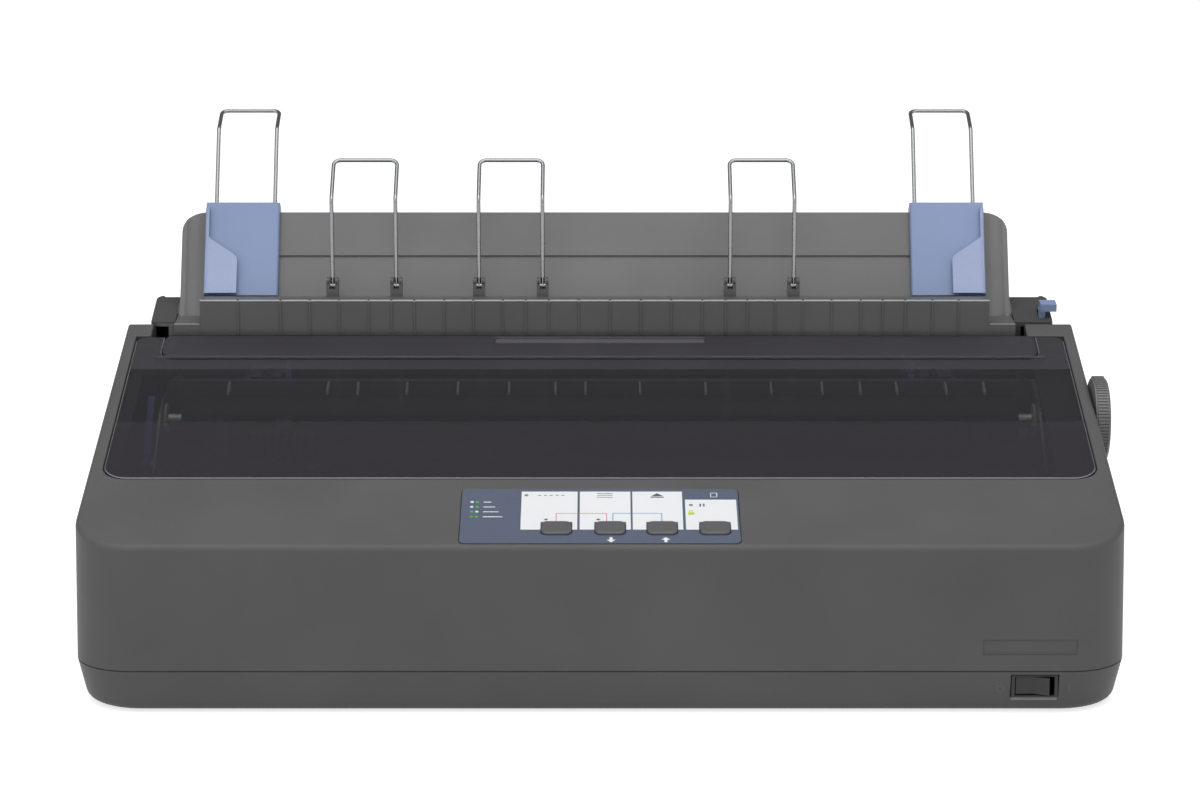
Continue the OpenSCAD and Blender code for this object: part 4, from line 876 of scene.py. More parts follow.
def arrow(x, u, direction):
    """A printed arrow, up (1) or down (-1) the slope."""
    outline = [(-0.8, -2.4), (0.8, -2.4), (0.8, 0), (2.3, 0), (0, 2.6), (-2.3, 0), (-0.8, 0)]
    return sign("arrow", [(a, b * direction) for a, b in outline], x, u)


def printed(name, shapes, material, cuts=()):
    """Joins printed shapes into one layer of ink, on the printer's body."""
    layer = joined(*shapes)
    layer.name = name
    if cuts:
        cut(layer, *cuts)
    return finish(layer, TOP, "printer_body", material)


# White fields of the film: left edge, right edge and upper edge of each, in mm
FIELD_U = up(17)
FIELD_TOP = up(54.6)
FIELDS = [(-40.5, -11.6, FIELD_TOP), (-10.4, 15.7, FIELD_TOP), (16.7, 42.4, FIELD_TOP),
          (43.8, 70.2, up(46.5))]
# Rows and columns of the lamps, and the line above the keys where their brackets start
LAMP_ROWS = [up(y) for y in (44, 39.2, 34.4, 29.5)]
LAMP_X = (-65.9, -63.2)
KEY_TOP = BUTTON_U + BUTTON_L + 0.6


def panel_print():
    """Generic print of the panel: white fields, brackets, arrows, plain signs and lamp windows."""
    printed("print_white_fields", [bar(a, FIELD_U, b, top, FIELD_T) for a, b, top in FIELDS], ink_white,
            [key_hole(x, -5, 5) for x in BUTTON_X])
    # Brackets that join two keys each
    bracket_u = up(32.6)
    for name, first, second, material in (("print_red_bracket", -22.6, 3.6, ink_red),
                                          ("print_blue_bracket", 6.4, 31.8, ink_blue)):
        printed(name, [bar(first, bracket_u, second, bracket_u + 0.4, SIGN_T),
                       bar(first, KEY_TOP, first + 0.4, bracket_u + 0.2, SIGN_T - 0.01),
                       bar(second - 0.4, KEY_TOP, second, bracket_u + 0.2, SIGN_T - 0.01)], material)
    # White signs on the slate film: the two arrows under the keys, four row marks, a sheet sign
    signs = [arrow(5.6, up(7.2), -1), arrow(33.3, up(7.2), 1)]
    signs += [bar(-60, u - 0.35, -60 + w, u + 0.35) for u, w in zip(LAMP_ROWS, (4, 6, 8, 10))]
    signs += [bar(57, up(49), 57.4, up(53)), bar(60.2, up(49), 60.6, up(53)),
              bar(57, up(53), 60.6, up(53) + 0.4), bar(57, up(49), 60.6, up(49) + 0.4)]
    printed("print_white_signs", signs, ink_white)
    # Dark signs on the white fields: dashes to tear along, lines to feed, an eject sign, a pause
    marks = [bar(x, up(50.6), x + 1.6, up(50.6) + 0.5, SIGN_T) for x in (-32, -29, -26, -23, -20)]
    marks += [dot(x, up(26.8), 1.1, SIGN_T, 4) for x in (-27.6, -0.9)]
    marks += [bar(-1.5, up(y), 6.5, up(y) + 0.45, SIGN_T) for y in (48.6, 50.6, 52.4)]
    marks += [bar(26, up(48.4), 33, up(48.4) + 0.8, SIGN_T),
              sign("eject", [(-3.2, 0), (3.2, 0), (0, 3.2)], 29.5, up(49.8), SIGN_T)]
    marks += [bar(x, up(39.6), x + 0.8, up(42.4), SIGN_T) for x in (51.2, 53)]
    printed("print_dark_signs", marks, ink_dark)
    # Padlock sign
    lock_u = up(33)
    printed("print_lock_sign", [bar(45.2, lock_u - 1.6, 48.4, lock_u + 0.9, SIGN_T),
                                bar(45.7, lock_u + 0.8, 46.2, lock_u + 2.6, SIGN_T - 0.01),
                                bar(47.4, lock_u + 0.8, 47.9, lock_u + 2.6, SIGN_T - 0.01),
                                bar(45.7, lock_u + 2.2, 47.9, lock_u + 2.7, SIGN_T + 0.01)], ink_lime)
    # Lamp windows: two columns of four at the left, and two single ones
    outer, inner = LAMP_X
    first, second, third, fourth = LAMP_ROWS
    greens = [(inner, first), (inner, second), (outer, third), (outer, fourth), (inner, fourth)]
    clears = [(outer, first), (outer, second), (inner, third)]
    greys = [(-38, up(50.8)), (46.8, up(41))]
    for name, places, radius, material in (("green_lamps", greens, 0.95, lamp_green),
                                           ("clear_lamps", clears, 0.95, lamp_clear),
                                           ("grey_lamps", greys, 1.1, lamp_grey)):
        lenses = [dot(x, u, radius, LENS_T) for x, u in places]
        for lens in lenses:
            round_edges(lens, 0.2, 2, lambda e: higher(e, FILM_N + 0.2))
        printed(name, lenses, material)


# Top of a key over the sloped top, before its crown swells
CROWN_N = 1.35


def key(index, x):
    """A key: round corners, a bevelled crown that swells a little, a collar under the deck."""
    half = BUTTON_W / 2
    end = BUTTON_U + BUTTON_L
    middle = BUTTON_U + BUTTON_L / 2
    cap = block(f"key_{index}", (x - half, BUTTON_U, -3), (x + half, end, CROWN_N))
    round_edges(cap, KEY_R, 6, upright)
    round_edges(cap, 1, 4, lambda e: higher(e, CROWN_N - 0.05))
    pick(cap, "FACE", lambda face: face.normal.z > 0.99)
    bpy.ops.mesh.inset(thickness=0.9)
    bpy.ops.transform.translate(value=(0, 0, 0.13))
    let_go()
    collar = soft_block("collar", (x - half - 1.2, BUTTON_U - 1.2, -4.2),
                        (x + half + 1.2, end + 1.2, -WALL - 0.3), 0.3)
    stem = block("stem", (x - 2, middle - 2, -6.4), (x + 2, middle + 2, -4))
    joined(cap, collar, stem)
    finish(cap, TOP, f"button_{index}", key_grey, [f"button_{index}"])


panel_film()
panel_print()
for index, x in enumerate(BUTTON_X, 1):
    key(index, x)


# Switch and knob

ON_TRAY = Matrix.Translation((0, 0, SEAM_H)) @ Matrix.Rotation(TRAY_LEAN, 4, "X")
# Heights under the seam, along the leaning front: the marks beside the switch and the sill below it
MARK_Z = -9.4
MARK_R = 2.1
SILL_Z = -16.2
SILL_H = 1.7
SILL_HW = 11.8
# Marks and sill stand out of the front by this
PROUD = 0.12


def power_switch():
    """Rocker in its bezel, a ring and a bar beside it for off and on, and a sill below it."""
    bezel = soften(copy_of("switch_housing", "switch_bezel"), 0.35, 3)
    finish(bezel, CASE, "printer_body", switch_black, ["switch_housing"])
    rocker = soften(copy_of("power_rocker", "rocker_key"), 0.3, 3)
    finish(rocker, CASE, "rocker", switch_black, ["power_rocker"])
    ring = rod("off_mark", MARK_R, "Y", (SWITCH_X - 17.5, -PROUD, MARK_Z), 0.4, 28)
    cut(ring, rod("hole", 1.6, "Y", (SWITCH_X - 17.5, -1, MARK_Z), 3, 28))
    stroke = block("on_mark", (SWITCH_X + 17.3, -PROUD, MARK_Z - MARK_R),
                   (SWITCH_X + 17.8, 0.4 - PROUD, MARK_Z + MARK_R))
    joined(ring, stroke)
    finish(ring, CASE @ ON_TRAY, "printer_body", mark_grey)
    # A sill below the bezel is painted pale, a painted highlight of the light from above
    sill = soft_block("switch_sill", (SWITCH_X - SILL_HW, -PROUD, SILL_Z),
                      (SWITCH_X + SILL_HW, 0.6, SILL_Z + SILL_H), 0.3)
    finish(sill, CASE @ ON_TRAY, "printer_body", sill_painted_highlight)


# Knob: inner and outer face, radius, ribs and their depth, the end's flat ring and its dish
KNOB_X0 = HALF_W - 0.6
KNOB_END = KNOB_X0 + 8.2
KNOB_R = 24
KNOB_RIBS = 84
RIB_DEPTH = 0.6
RING_W = 3.2
DISH_DEPTH = 1.6


def knob():
    """Ribbed knob on the platen's shaft: a rim of fine ribs, a chamfer and a dished end."""
    rim = rod("ribbed_knob", KNOB_R, "X", (KNOB_X0 + 1, PLATEN_Y, PLATEN_Z), KNOB_END - KNOB_X0 - 2.6,
              2 * KNOB_RIBS)
    centre = Vector((0, PLATEN_Y, PLATEN_Z))

    def groove(face):
        if abs(face.normal.x) > 0.5:
            return False
        out = face.calc_center_median() - centre
        turn = math.atan2(out.z, out.y) / (2 * math.pi) * 2 * KNOB_RIBS
        return math.floor(turn) % 2 == 0
    pick(rim, "FACE", groove)
    bpy.ops.mesh.inset(thickness=0.12, use_individual=True)
    bpy.ops.mesh.extrude_region_shrink_fatten(TRANSFORM_OT_shrink_fatten={"value": -RIB_DEPTH})
    let_go()
    # The end: a flat ring, a dish inside it and a raised middle
    disc = rod("disc", KNOB_R - 1.2, "X", (KNOB_X0, PLATEN_Y, PLATEN_Z), KNOB_END - KNOB_X0, 96)
    round_edges(disc, 1.4, 3, lambda e: all(p.x > KNOB_END - 0.1 for p in ends(e)))
    pick(disc, "FACE", lambda face: face.normal.x > 0.99)
    bpy.ops.mesh.inset(thickness=RING_W)
    bpy.ops.mesh.extrude_region_move(TRANSFORM_OT_translate={"value": (-DISH_DEPTH, 0, 0)})
    bpy.ops.mesh.inset(thickness=10)
    bpy.ops.mesh.extrude_region_move(TRANSFORM_OT_translate={"value": (DISH_DEPTH / 2, 0, 0)})
    let_go()
    hub = rod("hub", 6.5, "X", (KNOB_X0 - 7, PLATEN_Y, PLATEN_Z), 8)
    joined(rim, soften(disc, 0.3), soften(hub, 0.4))
    finish(rim, CASE, "platen", knob_grey, ["platen_knob"], smooth=30)


power_switch()
knob()


# Paper guide

# Ribbed wall, its ledge and its cheeks
RIBBED_Y = 230
RIBBED_Z = 147.77
LEDGE_TOP = RIBBED_Z + 20.6
LEDGE_D = 10.4
RIBBED_HW = HALF_W - 47.2
GUIDE_HW = HALF_W - 32.3
PIVOT_Y = RIBBED_Y + 26
PIVOT_Z = RIBBED_Z + 3.3
GUIDE_RIB_X = [-203.8, -179.8, -163.4, -146.9, -130.2, -117.4, -104.5, -87.7, -71.3, -54.7, -41.8,
               -28.8, -11.9, 5.7, 23, 40.2, 57.5, 70.6, 83, 98.5, 114.2, 130.3, 146.8, 159.1, 171.8,
               187.1, 201.9]
RIB_HALF = 0.6
# Output wires and their clips
OUTPUT_X = [-133.2, -50.4, 91.5]
WIRE_W = 36
# Room round a wire in its clip, and how much wider than a wire its hooks and channels are
WIRE_GAP = 0.35
WIRE_FIT = 0.15
CLIP_W = 6.7
CLIP_TOP = LEDGE_TOP + 10
CLIP_Y0 = RIBBED_Y + LEDGE_D
CLIP_Y1 = CLIP_Y0 + 6.4
WIRE_Y = CLIP_Y0 + 3.2
WIRE_Z = LEDGE_TOP + 5.6
LEG_X = [x + side * WIRE_W / 2 for x in OUTPUT_X for side in (-1, 1)]


def clip(x):
    """Clip of one wire leg: a block on the ledge's rear edge with a slot between two small lugs."""
    piece = block("clip", (x - CLIP_W / 2, CLIP_Y0 - 1, LEDGE_TOP - 6), (x + CLIP_W / 2, CLIP_Y1, CLIP_TOP))
    round_edges(piece, 1, 3, lambda e: upright(e, 0) and higher(e, CLIP_TOP - 0.1))
    tools = [block("slot", (x - WIRE_R - WIRE_GAP, CLIP_Y0 - 3, WIRE_Z - 1.5),
                   (x + WIRE_R + WIRE_GAP, CLIP_Y1 + 1, CLIP_TOP + 2)),
             rod("hook_bore", WIRE_R + WIRE_GAP, "X", (x - CLIP_W, WIRE_Y, WIRE_Z), 2 * CLIP_W, 24)]
    # A small round recess in the front of each lug
    tools += [rod("recess", 0.62, "Y", (x + side * 2.42, CLIP_Y0 - 2, LEDGE_TOP + 7.6), 1.9, 14)
              for side in (-1, 1)]
    cut(piece, *tools)
    return soften(piece, 0.25, 2, 50)


def with_painted_highlight(piece, test):
    """Gives the faces that pass a test the pale painted highlight, and the others the plain grey."""
    wear(piece, guide_grey, guide_painted_highlight)
    for face in piece.data.polygons:
        face.material_index = int(test(face))
    return piece


def paper_guide():
    """Ribbed wall with a ledge on top: thin ribs run up its front and a little over its top edge."""
    x0, x1 = GUIDE_X - RIBBED_HW, GUIDE_X + RIBBED_HW
    guide = block("ribbed_guide", (x0, RIBBED_Y, RIBBED_Z), (x1, RIBBED_Y + 2.2, LEDGE_TOP))
    round_edges(guide, 0.6, 1, lambda e: upright(e, 0) and higher(e, LEDGE_TOP - 1)
                and all(p.y < RIBBED_Y + 0.1 for p in ends(e)))
    # The rounded front top edge gets the painted highlight
    with_painted_highlight(guide, lambda face: face.normal.z > 0.5 and face.normal.y < -0.5)
    parts = [soft_block("ledge", (x0, RIBBED_Y + 1.6, LEDGE_TOP - 2), (x1, CLIP_Y0, LEDGE_TOP - 0.02), 0.4)]
    for x in GUIDE_RIB_X:
        rib = block("rib", (x - RIB_HALF, RIBBED_Y - 0.8, RIBBED_Z + 1),
                    (x + RIB_HALF, RIBBED_Y + 1, LEDGE_TOP - 0.6))
        round_edges(rib, 0.35, 2, lambda e: upright(e) and ends(e)[0].y < RIBBED_Y)
        round_edges(rib, 0.7, 3, lambda e: upright(e, 0) and higher(e, LEDGE_TOP - 1)
                    and all(p.y < RIBBED_Y for p in ends(e)))
        # Where a rib runs over the top edge it ends in a short tick
        tick = soft_block("tick", (x - RIB_HALF, RIBBED_Y + 0.2, LEDGE_TOP - 1),
                          (x + RIB_HALF, RIBBED_Y + 3.4, LEDGE_TOP + 0.5), 0.25)
        parts += [rib, tick]
    for side in (-1, 1):
        low, high = sorted((GUIDE_X + side * GUIDE_HW, GUIDE_X + side * (RIBBED_HW + 0.1)))
        cheek = block("cheek", (low, RIBBED_Y, RIBBED_Z), (high, PIVOT_Y + 6, RIBBED_Z + 7))
        round_edges(cheek, 0.7, 3, lambda e: higher(e, RIBBED_Z + 6.9) and sharp(e, 80))
        place_of_plate = put(block("place_of_plate", (-PLATE_HW - 0.1, -0.1, -2.1),
                                   (PLATE_HW + 0.1, PLATE_T + 0.1, 30)), ON_PLATE)
        cut(cheek, place_of_plate)
        # The cheek's sloping front faces get the painted highlight too
        with_painted_highlight(cheek, lambda face: face.center.y < RIBBED_Y + 0.7 and 0.3 < face.normal.z < 0.9)
        x = GUIDE_X + side * (GUIDE_HW + 0.8)
        parts += [cheek, soften(rod("pivot", 3, "X", (x - 3.4, PIVOT_Y, PIVOT_Z), 6.8), 0.4)]
    parts += [clip(x) for x in LEG_X]
    for part in parts:
        if not part.data.materials:
            with_painted_highlight(part, lambda face: False)
    joined(guide, *parts)
    finish(guide, CASE, "paper_guide", [guide_grey, guide_painted_highlight], ["paper_guide"], smooth=35)


# Groove across the back plate, and the two small posts in it
GROOVE_Z = 36.1
POST_X = (-135.5, -131.5)
# Hollow beside each end of the back plate: radius and middle
HOLLOW_R = 12
HOLLOW_X = PLATE_HW - 8
HOLLOW_Y = -10.7
STIFFENER_X = PLATE_HW - 3


def back_plate():
    """Back plate: thin and leaning, with round upper corners, a groove and a hollow at each end."""
    plate = block("leaning_plate", (-PLATE_HW, 0, -2), (PLATE_HW, PLATE_T, PLATE_L - 2))
    round_edges(plate, 12, 12, lambda e: upright(e, 1) and ends(e)[0].z > PLATE_L - 3)
    # A shallow round hollow runs up each end, beside the guides
    tools = [rod("hollow", HOLLOW_R, "Z", (x, HOLLOW_Y, -5), PLATE_L + 10, 96) for x in (-HOLLOW_X, HOLLOW_X)]
    tools.append(block("groove", (-PLATE_HW + 15, -1, GROOVE_Z), (PLATE_HW - 15, 1.2, GROOVE_Z + 2)))
    cut(plate, *tools)
    soften(plate, 0.35, 2, 60)
    walls = [soft_block("stiffener", (x - 0.9, PLATE_T - 0.2, 14), (x + 0.9, PLATE_T + 5, PLATE_L - 10), 0.4)
             for x in (-STIFFENER_X, STIFFENER_X)]
    posts = [soft_block("post", (x, 0.95, GROOVE_Z - 0.1), (x + 1.4, 1.4, GROOVE_Z + 2.1), 0.1)
             for x in POST_X]
    joined(plate, *walls, *posts)
    finish(plate, PLATE, "paper_guide", plate_grey, ["back_plate"])


# Edge guides: outer edge, width, bottom and top on the back plate
EDGE_X = PLATE_HW - 14
EDGE_W = 42
EDGE_Z0 = 13
EDGE_Z1 = PLATE_L + 2.4
# The fence along the outer edge: its top, how far it stands out, its wall, and the line where its
# curled flap ends
FENCE_TOP = EDGE_Z1 - 5.5
FENCE_D = 9.6
FENCE_WALL = 2.3
FLAP_W = 18.8
FLAP_END = 32.5
CURL_STEP = 3
# The wire's channels in the guide: their depth and where the two legs run
CHANNEL_Y = -2.6
LEG_IN = (5.6, EDGE_W - 3)


def edge_guide(side, name):
    """Blue edge guide, drawn for the left: a plate, a fence at its outer edge and a curled flap."""
    guide = block(name, (0, -4.7, EDGE_Z0), (EDGE_W, -GAP, EDGE_Z1))
    round_edges(guide, 1.6, 4, lambda e: upright(e) and ends(e)[0].x > EDGE_W - 0.1 and ends(e)[0].y < -1)
    for x in LEG_IN:
        cut(guide, rod("channel", WIRE_R + WIRE_FIT, "Z", (x, CHANNEL_Y, EDGE_Z0 - 1), PLATE_L, 24))
    soften(guide, 0.45, 2, 55)
    fence = block("fence", (0, -FENCE_D, EDGE_Z0), (FLAP_W, -2, FENCE_TOP))
    round_edges(fence, 2.5, 6, lambda e: upright(e) and ends(e)[0].x < 0.1 and ends(e)[0].y < -9)
    inner = block("inner", (FENCE_WALL - 0.1, -7.8, EDGE_Z0 - 5), (EDGE_W, 0, EDGE_Z1 + 5))
    round_edges(inner, 1.7, 5, lambda e: upright(e) and ends(e)[0].x < FENCE_WALL)
    # The flap ends in a slanted line, above which only the fence's own wall is left
    outline = [(FENCE_WALL, EDGE_Z1 + 9), (FENCE_WALL, 47.2), (2.8, 46.2), (4, 45.1), (15.8, 37),
               (17.4, 35.8), (18.4, 34.5), (FLAP_W, FLAP_END), (EDGE_W, FLAP_END), (EDGE_W, EDGE_Z1 + 9)]
    above = plate_of("above", outline, lambda a, b: Vector((a, -14, b)), (0, 7, 0))
    cut(fence, inner, above)
    soften(fence, 0.5, 2, 55)
    # Its face is curled: rows across it, each set back a little more than the one below
    pick(fence, "FACE", lambda face: True)
    for z in range(EDGE_Z0 + 5, EDGE_Z0 + 35, CURL_STEP):
        bpy.ops.mesh.select_all(action="SELECT")
        bpy.ops.mesh.bisect(plane_co=(0, 0, z), plane_no=(0, 0, 1))
    let_go()

    def curl(p):
        t = min(max((p.z - EDGE_Z0 - 2) / 30, 0), 1)
        if p.y < -7:
            p.y += 0.9 * (1 - (1 - t) ** 2) * (1 if p.y < -9 else 0.3)
        if p.z > FENCE_TOP - 1:
            p.z += (p.y + FENCE_D) * 0.5
        return p
    reshape(fence, curl)
    # A tongue runs in the plate's groove, and a hook reaches over the plate's top and down behind it
    tongue = block("tongue", (4, -1, GROOVE_Z + 0.25), (EDGE_W - 4, 0.9, GROOVE_Z + 1.75))
    top = soft_block("top_hook", (0, -1, PLATE_L - 2 + GAP), (EDGE_W, 5.2, EDGE_Z1), 0.5, 3)
    back = soft_block("back_hook", (0, PLATE_T + GAP, PLATE_L - 9), (EDGE_W, 5.2, EDGE_Z1 - 0.3), 0.5, 3)
    for part in (guide, fence, tongue, top, back):
        wear(part, blue_acetal, blue_painted_sheen)
    # The flap's front faces get the paler painted sheen
    for face in fence.data.polygons:
        face.material_index = int(face.normal.y < -0.5)
    joined(guide, fence, tongue, top, back)
    if side > 0:
        mirror(guide)
    word = "left" if side < 0 else "right"
    place = PLATE @ Matrix.Translation((side * EDGE_X, 0, 0))
    finish(guide, place, f"edge_{word}", [blue_acetal, blue_painted_sheen], [f"edge_guide_{word}"])


def mirror(piece):
    """Turns a left-hand piece into a right-hand one about X = 0, with its faces kept outwards."""
    reshape(piece, lambda p: Vector((-p.x, p.y, p.z)))
    pick(piece, "FACE", lambda face: True)
    bpy.ops.mesh.flip_normals()
    let_go()


# Radius of a wire's kink and of its corners
KINK_R = 5
WIRE_CORNER = 4
# Each kind of wire: length of its legs, angle of its kink in degrees and length of its tip
OUTPUT_WIRE = (47, 54, 28)
GUIDE_WIRE = (57, 42, 20)


def wire(name, width, leg, angle, tip):
    """Bent wire: two legs, a kink to the rear and a closed tip with round corners."""
    let_go()
    half = width / 2
    bend = math.radians(angle)
    bpy.ops.mesh.primitive_circle_add(vertices=16, radius=WIRE_R, fill_type="NGON", location=(-half, 0, 0))
    piece = bpy.context.object
    piece.name = name
    apply_place(piece)
    pick(piece, "FACE", lambda face: True)
    bpy.ops.mesh.extrude_region_move(TRANSFORM_OT_translate={"value": (0, 0, leg)})
    bpy.ops.mesh.spin(steps=8, angle=bend, center=(-half, KINK_R, leg), axis=(1, 0, 0))
    along = Vector((0, math.sin(bend), math.cos(bend)))
    start = Vector((-half, KINK_R * (1 - math.cos(bend)), leg + KINK_R * math.sin(bend)))
    bpy.ops.mesh.extrude_region_move(TRANSFORM_OT_translate={"value": along * (tip - WIRE_CORNER)})
    corner = start + along * (tip - WIRE_CORNER) + Vector((WIRE_CORNER, 0, 0))
    bpy.ops.mesh.spin(steps=8, angle=-math.pi / 2, center=corner, axis=along.cross(Vector((1, 0, 0))))
    bpy.ops.mesh.extrude_region_move(TRANSFORM_OT_translate={"value": (half - WIRE_CORNER, 0, 0)})
    bpy.ops.mesh.delete(type="FACE")
    let_go()
    apply_modifier(piece, "MIRROR", use_clip=True, merge_threshold=0.01)
    return outward(piece)


def wires():
    """Three output wires in their clips, and the wires of the two edge guides."""
    for index, x in enumerate(OUTPUT_X, 1):
        piece = wire(f"output_support_{index}", WIRE_W, *OUTPUT_WIRE)
        hooks = [soften(rod("hook", WIRE_R + WIRE_FIT, "X", (side * WIRE_W / 2 - CLIP_W / 2 + 0.3, 0, 0),
                            CLIP_W - 0.6, 16), 0.2) for side in (-1, 1)]
        joined(piece, *hooks)
        finish(piece, CASE @ Matrix.Translation((x, WIRE_Y, WIRE_Z)), f"output_wire_{index}", plated_wire,
               [f"output_wire_{index}"])
    middle = sum(LEG_IN) / 2
    for side, word in ((-1, "left"), (1, "right")):
        piece = wire(f"guide_support_{word}", LEG_IN[1] - LEG_IN[0], *GUIDE_WIRE)
        place = PLATE @ Matrix.Translation((side * (EDGE_X - middle), CHANNEL_Y, EDGE_Z1 - 14))
        finish(piece, place, f"guide_wire_{word}", plated_wire, [f"guide_wire_{word}"])


paper_guide()
back_plate()
edge_guide(-1, "blue_guide_left")
edge_guide(1, "blue_guide_right")
wires()


# Rear case, levers and the mechanism: shapes kept, edges rounded as a mould or a press leaves them

def softened(node_name, name, width, body, material, slot, segments=2):
    """A merged copy of a node with its edges rounded, in the node's place."""
    piece = soften(copy_of(node_name, name), width, segments)
    return finish(piece, CASE, body, material, [node_name])


def rear_shell():
    """Rear case: its top edge at the back is rounded more than the rest."""
    shell = copy_of("rear_case", "rear_shell")
    round_edges(shell, 2.4, 5, lambda e: upright(e, 0) and all(
        p.y > CASE_D - 0.1 and p.z > top_z(CASE_D) - 1 for p in ends(e)))
    soften(shell, 0.5, 3, 50)
    finish(shell, CASE, "printer_body", dark_abs, ["rear_case"])


# Middle of the tension bar, whose ribs stand out in front of it
BAR_Y = PLATEN_Y + 15


def tension_bar():
    """Bar under the cover with short ribs, whose fronts are painted pale as a painted glint."""
    bar_piece = soften(copy_of("tension_bar", "ribbed_tension_bar"), 0.2)
    # Faces in front of the bar's middle, the ribs' fronts, get the painted glint
    for face in bar_piece.data.polygons:
        face.material_index = 1 if face.center.y < BAR_Y - 0.3 else 0
    finish(bar_piece, CASE, "printer_body", [bar_grey, rib_painted_glint], ["tension_bar"])


rear_shell()
tension_bar()
# Node, name of its softened copy, width of its edges, body, finish, slot, steps of its edges
for part in (
        ("release_lever", "blue_release_lever", 0.8, "release_lever", blue_acetal, "blue_plastic", 3),
        ("thickness_lever", "blue_thickness_lever", 0.6, "thickness_lever", deep_blue, "blue_plastic", 3),
        ("ribbon_cartridge", "ribbon_case", 0.8, "printer_body", black_moulding, "black_plastic", 3),
        ("ribbon_knob", "ribbon_winder", 0.3, "ribbon_knob", guide_grey, "guide_dark"),
        ("carriage", "head_carrier", 0.6, "carriage", black_moulding, "black_plastic"),
        ("print_head", "finned_head", 0.3, "carriage", motor_can, "motor"),
        ("power_inlet", "mains_inlet", 0.4, "printer_body", switch_black, "black_plastic"),
        ("interface_ports", "port_shells", 0.4, "printer_body", port_tin, "port_metal"),
        ("side_frame_left", "left_side_plate", 0.2, "printer_body", zinc_steel, "sheet_steel"),
        ("side_frame_right", "right_side_plate", 0.2, "printer_body", zinc_steel, "sheet_steel"),
        ("tractor_left", "left_tractor_body", 0.3, "tractor_left", black_moulding, "black_plastic"),
        ("tractor_right", "right_tractor_body", 0.3, "tractor_right", black_moulding, "black_plastic"),
        ("tractor_door_left", "left_tractor_door", 0.3, "door_left", black_moulding, "black_plastic"),
        ("tractor_door_right", "right_tractor_door", 0.3, "door_right", black_moulding, "black_plastic"),
        ("tractor_lock_left", "left_tractor_lock", 0.3, "lock_left", deep_blue, "blue_plastic"),
        ("tractor_lock_right", "right_tractor_lock", 0.3, "lock_right", deep_blue, "blue_plastic"),
        ("feed_motor", "feed_motor_can", 0.5, "printer_body", motor_can, "motor"),
        ("carriage_motor", "carriage_motor_can", 0.5, "printer_body", motor_can, "motor"),
        ("platen_bushes", "shaft_bushes", 0.3, "printer_body", gear_white, "gear_plastic"),
        ("drive_pulley", "belt_drive_pulley", 0.15, "drive_pulley", gear_white, "gear_plastic"),
        ("tension_pulley", "belt_end_pulley", 0.15, "tension_pulley", gear_white, "gear_plastic"),
        ("rubber_feet", "soft_feet", 0.3, "printer_body", foot_black, "foot_rubber")):
    softened(*part)


# Nodes that stay as built and have a finish of their own

FINISHES = (
    (zinc_steel, ["base_frame", "case_screws"]),
    (ground_rod, ["platen_shaft", "tractor_shaft", "tractor_rod", "carriage_rod"]),
    (board_green, ["control_board", "panel_board"]),
    (supply_board, ["power_supply"]),
    (rubber, ["platen_roller"]),
    (belt_rubber, ["carriage_belt"]),
    (inked_cloth, ["ink_ribbon"]),
    (gear_white, ["platen_gear", "idler_gear"]),
    (brass, ["motor_pinion"]),
)

for finish_of_node, names in FINISHES:
    for name in names:
        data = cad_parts[name].data
        data.materials.clear()
        data.materials.append(finish_of_node)


# Studio: a pale floor, a white surround, one wide lamp above and two at the sides

# Light that the floor adds where it is seen directly, and the surround's strength where it isn't
PAPER_LIFT = 0.72
SURROUND = 0.55


def seen_directly(tree, path):
    """1 where a ray comes from the camera, from a reflection or through a clear piece."""
    seen = path.outputs["Is Camera Ray"]
    for ray in ("Is Glossy Ray", "Is Transmission Ray"):
        seen = node(tree, "ShaderNodeMath", {0: seen, 1: path.outputs[ray]}, operation="MAXIMUM").outputs[0]
    return seen


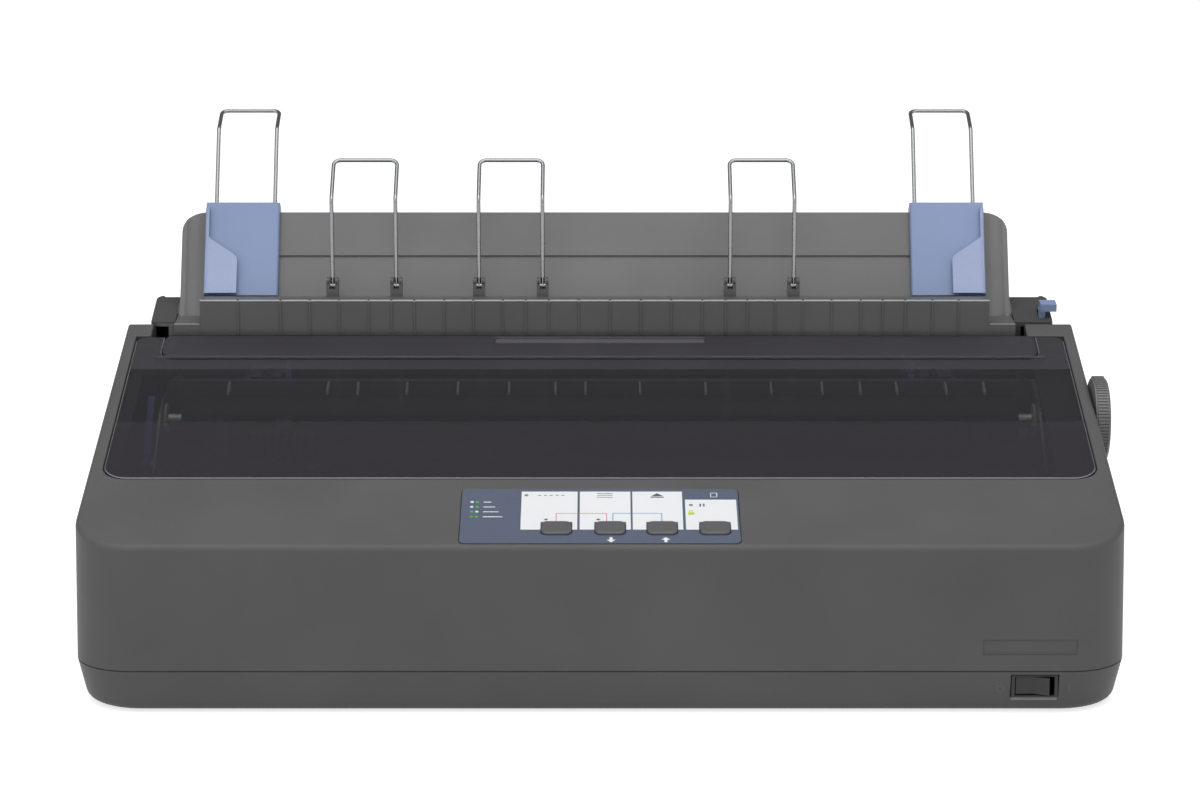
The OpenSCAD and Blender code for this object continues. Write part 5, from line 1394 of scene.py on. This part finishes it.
def studio():
    """Floor, surround and lamps."""
    scene = bpy.context.scene
    scene.view_settings.view_transform = "Standard"
    let_go()
    bpy.ops.mesh.primitive_circle_add(vertices=96, radius=6, fill_type="NGON", location=(0, 0, 0))
    floor = bpy.context.object
    floor.name = "studio_floor"
    material = bpy.data.materials.new("white_studio_paper")
    material.use_nodes = True
    tree = material.node_tree
    tree.nodes.clear()
    paper = node(tree, "ShaderNodeBsdfDiffuse", {"Color": linear("#d0d0d0")})
    # To the camera the paper is a little brighter, so that it reads white with a soft shadow on it
    lift = node(tree, "ShaderNodeEmission", {"Color": (1, 1, 1, 1), "Strength": PAPER_LIFT})
    both = node(tree, "ShaderNodeAddShader", {0: paper.outputs["BSDF"], 1: lift.outputs["Emission"]})
    path = node(tree, "ShaderNodeLightPath")
    seen = seen_directly(tree, path)
    mixed = node(tree, "ShaderNodeMixShader", {0: seen, 1: paper.outputs["BSDF"],
                                               2: both.outputs["Shader"]})
    node(tree, "ShaderNodeOutputMaterial", {"Surface": mixed.outputs["Shader"]})
    floor.data.materials.append(material)

    world = bpy.data.worlds.new("white_surround")
    scene.world = world
    world.use_nodes = True
    tree = world.node_tree
    tree.nodes.clear()
    path = node(tree, "ShaderNodeLightPath")
    seen = seen_directly(tree, path)
    # What shines back from the front and above is bright, and from behind it is dim, as in a light tent
    around = node(tree, "ShaderNodeTexCoord").outputs["Generated"]
    to = node(tree, "ShaderNodeSeparateXYZ", {"Vector": around})
    tent = node(tree, "ShaderNodeMapRange", {"Value": to.outputs["Y"], "From Min": -0.2, "From Max": 0.6,
                                             "To Min": 1.0, "To Max": 0.25})
    glossy = node(tree, "ShaderNodeMapRange", {"Value": path.outputs["Is Glossy Ray"], "To Min": 1.0})
    tree.links.new(tent.outputs["Result"], glossy.inputs["To Max"])
    strength = node(tree, "ShaderNodeMapRange", {"Value": seen, "To Min": SURROUND})
    tree.links.new(glossy.outputs["Result"], strength.inputs["To Max"])
    sky = node(tree, "ShaderNodeBackground", {"Color": (1, 1, 1, 1),
                                              "Strength": strength.outputs["Result"]})
    node(tree, "ShaderNodeOutputWorld", {"Surface": sky.outputs["Background"]})

    for name, place, aim, size, power in (
            ("lamp_above", (0, -0.5, 2.0), (0, 0, 0.1), 2.0, 26),
            ("lamp_left", (-2.0, -1.4, 1.2), (0, 0, 0.1), 1.2, 4),
            ("lamp_right", (2.0, -1.2, 1.2), (0, 0, 0.1), 1.2, 1.5)):
        light = bpy.data.lights.new(name, "AREA")
        light.size = size
        light.energy = power
        lamp = bpy.data.objects.new(name, light)
        scene.collection.objects.link(lamp)
        lamp.location = place
        lamp.rotation_euler = (Vector(aim) - Vector(place)).to_track_quat("-Z", "Y").to_euler()


# The photo's camera: lens and sensor width in mm, place along Y and height in metres, tip in degrees
LENS = 105
SENSOR_W = 36
EYE_Y = -1.8597
EYE_Z = 0.5708
TIP = 13.4


def camera():
    """The photo's camera, in front of the case's middle, which the knob's width sets a little left."""
    lens = bpy.data.cameras.new("photo_camera")
    lens.lens = LENS
    lens.sensor_width = SENSOR_W
    lens.clip_end = 50
    eye = bpy.data.objects.new("photo_camera", lens)
    bpy.context.scene.collection.objects.link(eye)
    eye.location = (CASE_AT.x, EYE_Y, EYE_Z)
    eye.rotation_euler = (math.radians(90 - TIP), 0, 0)
    bpy.context.scene.camera = eye


studio()
camera()
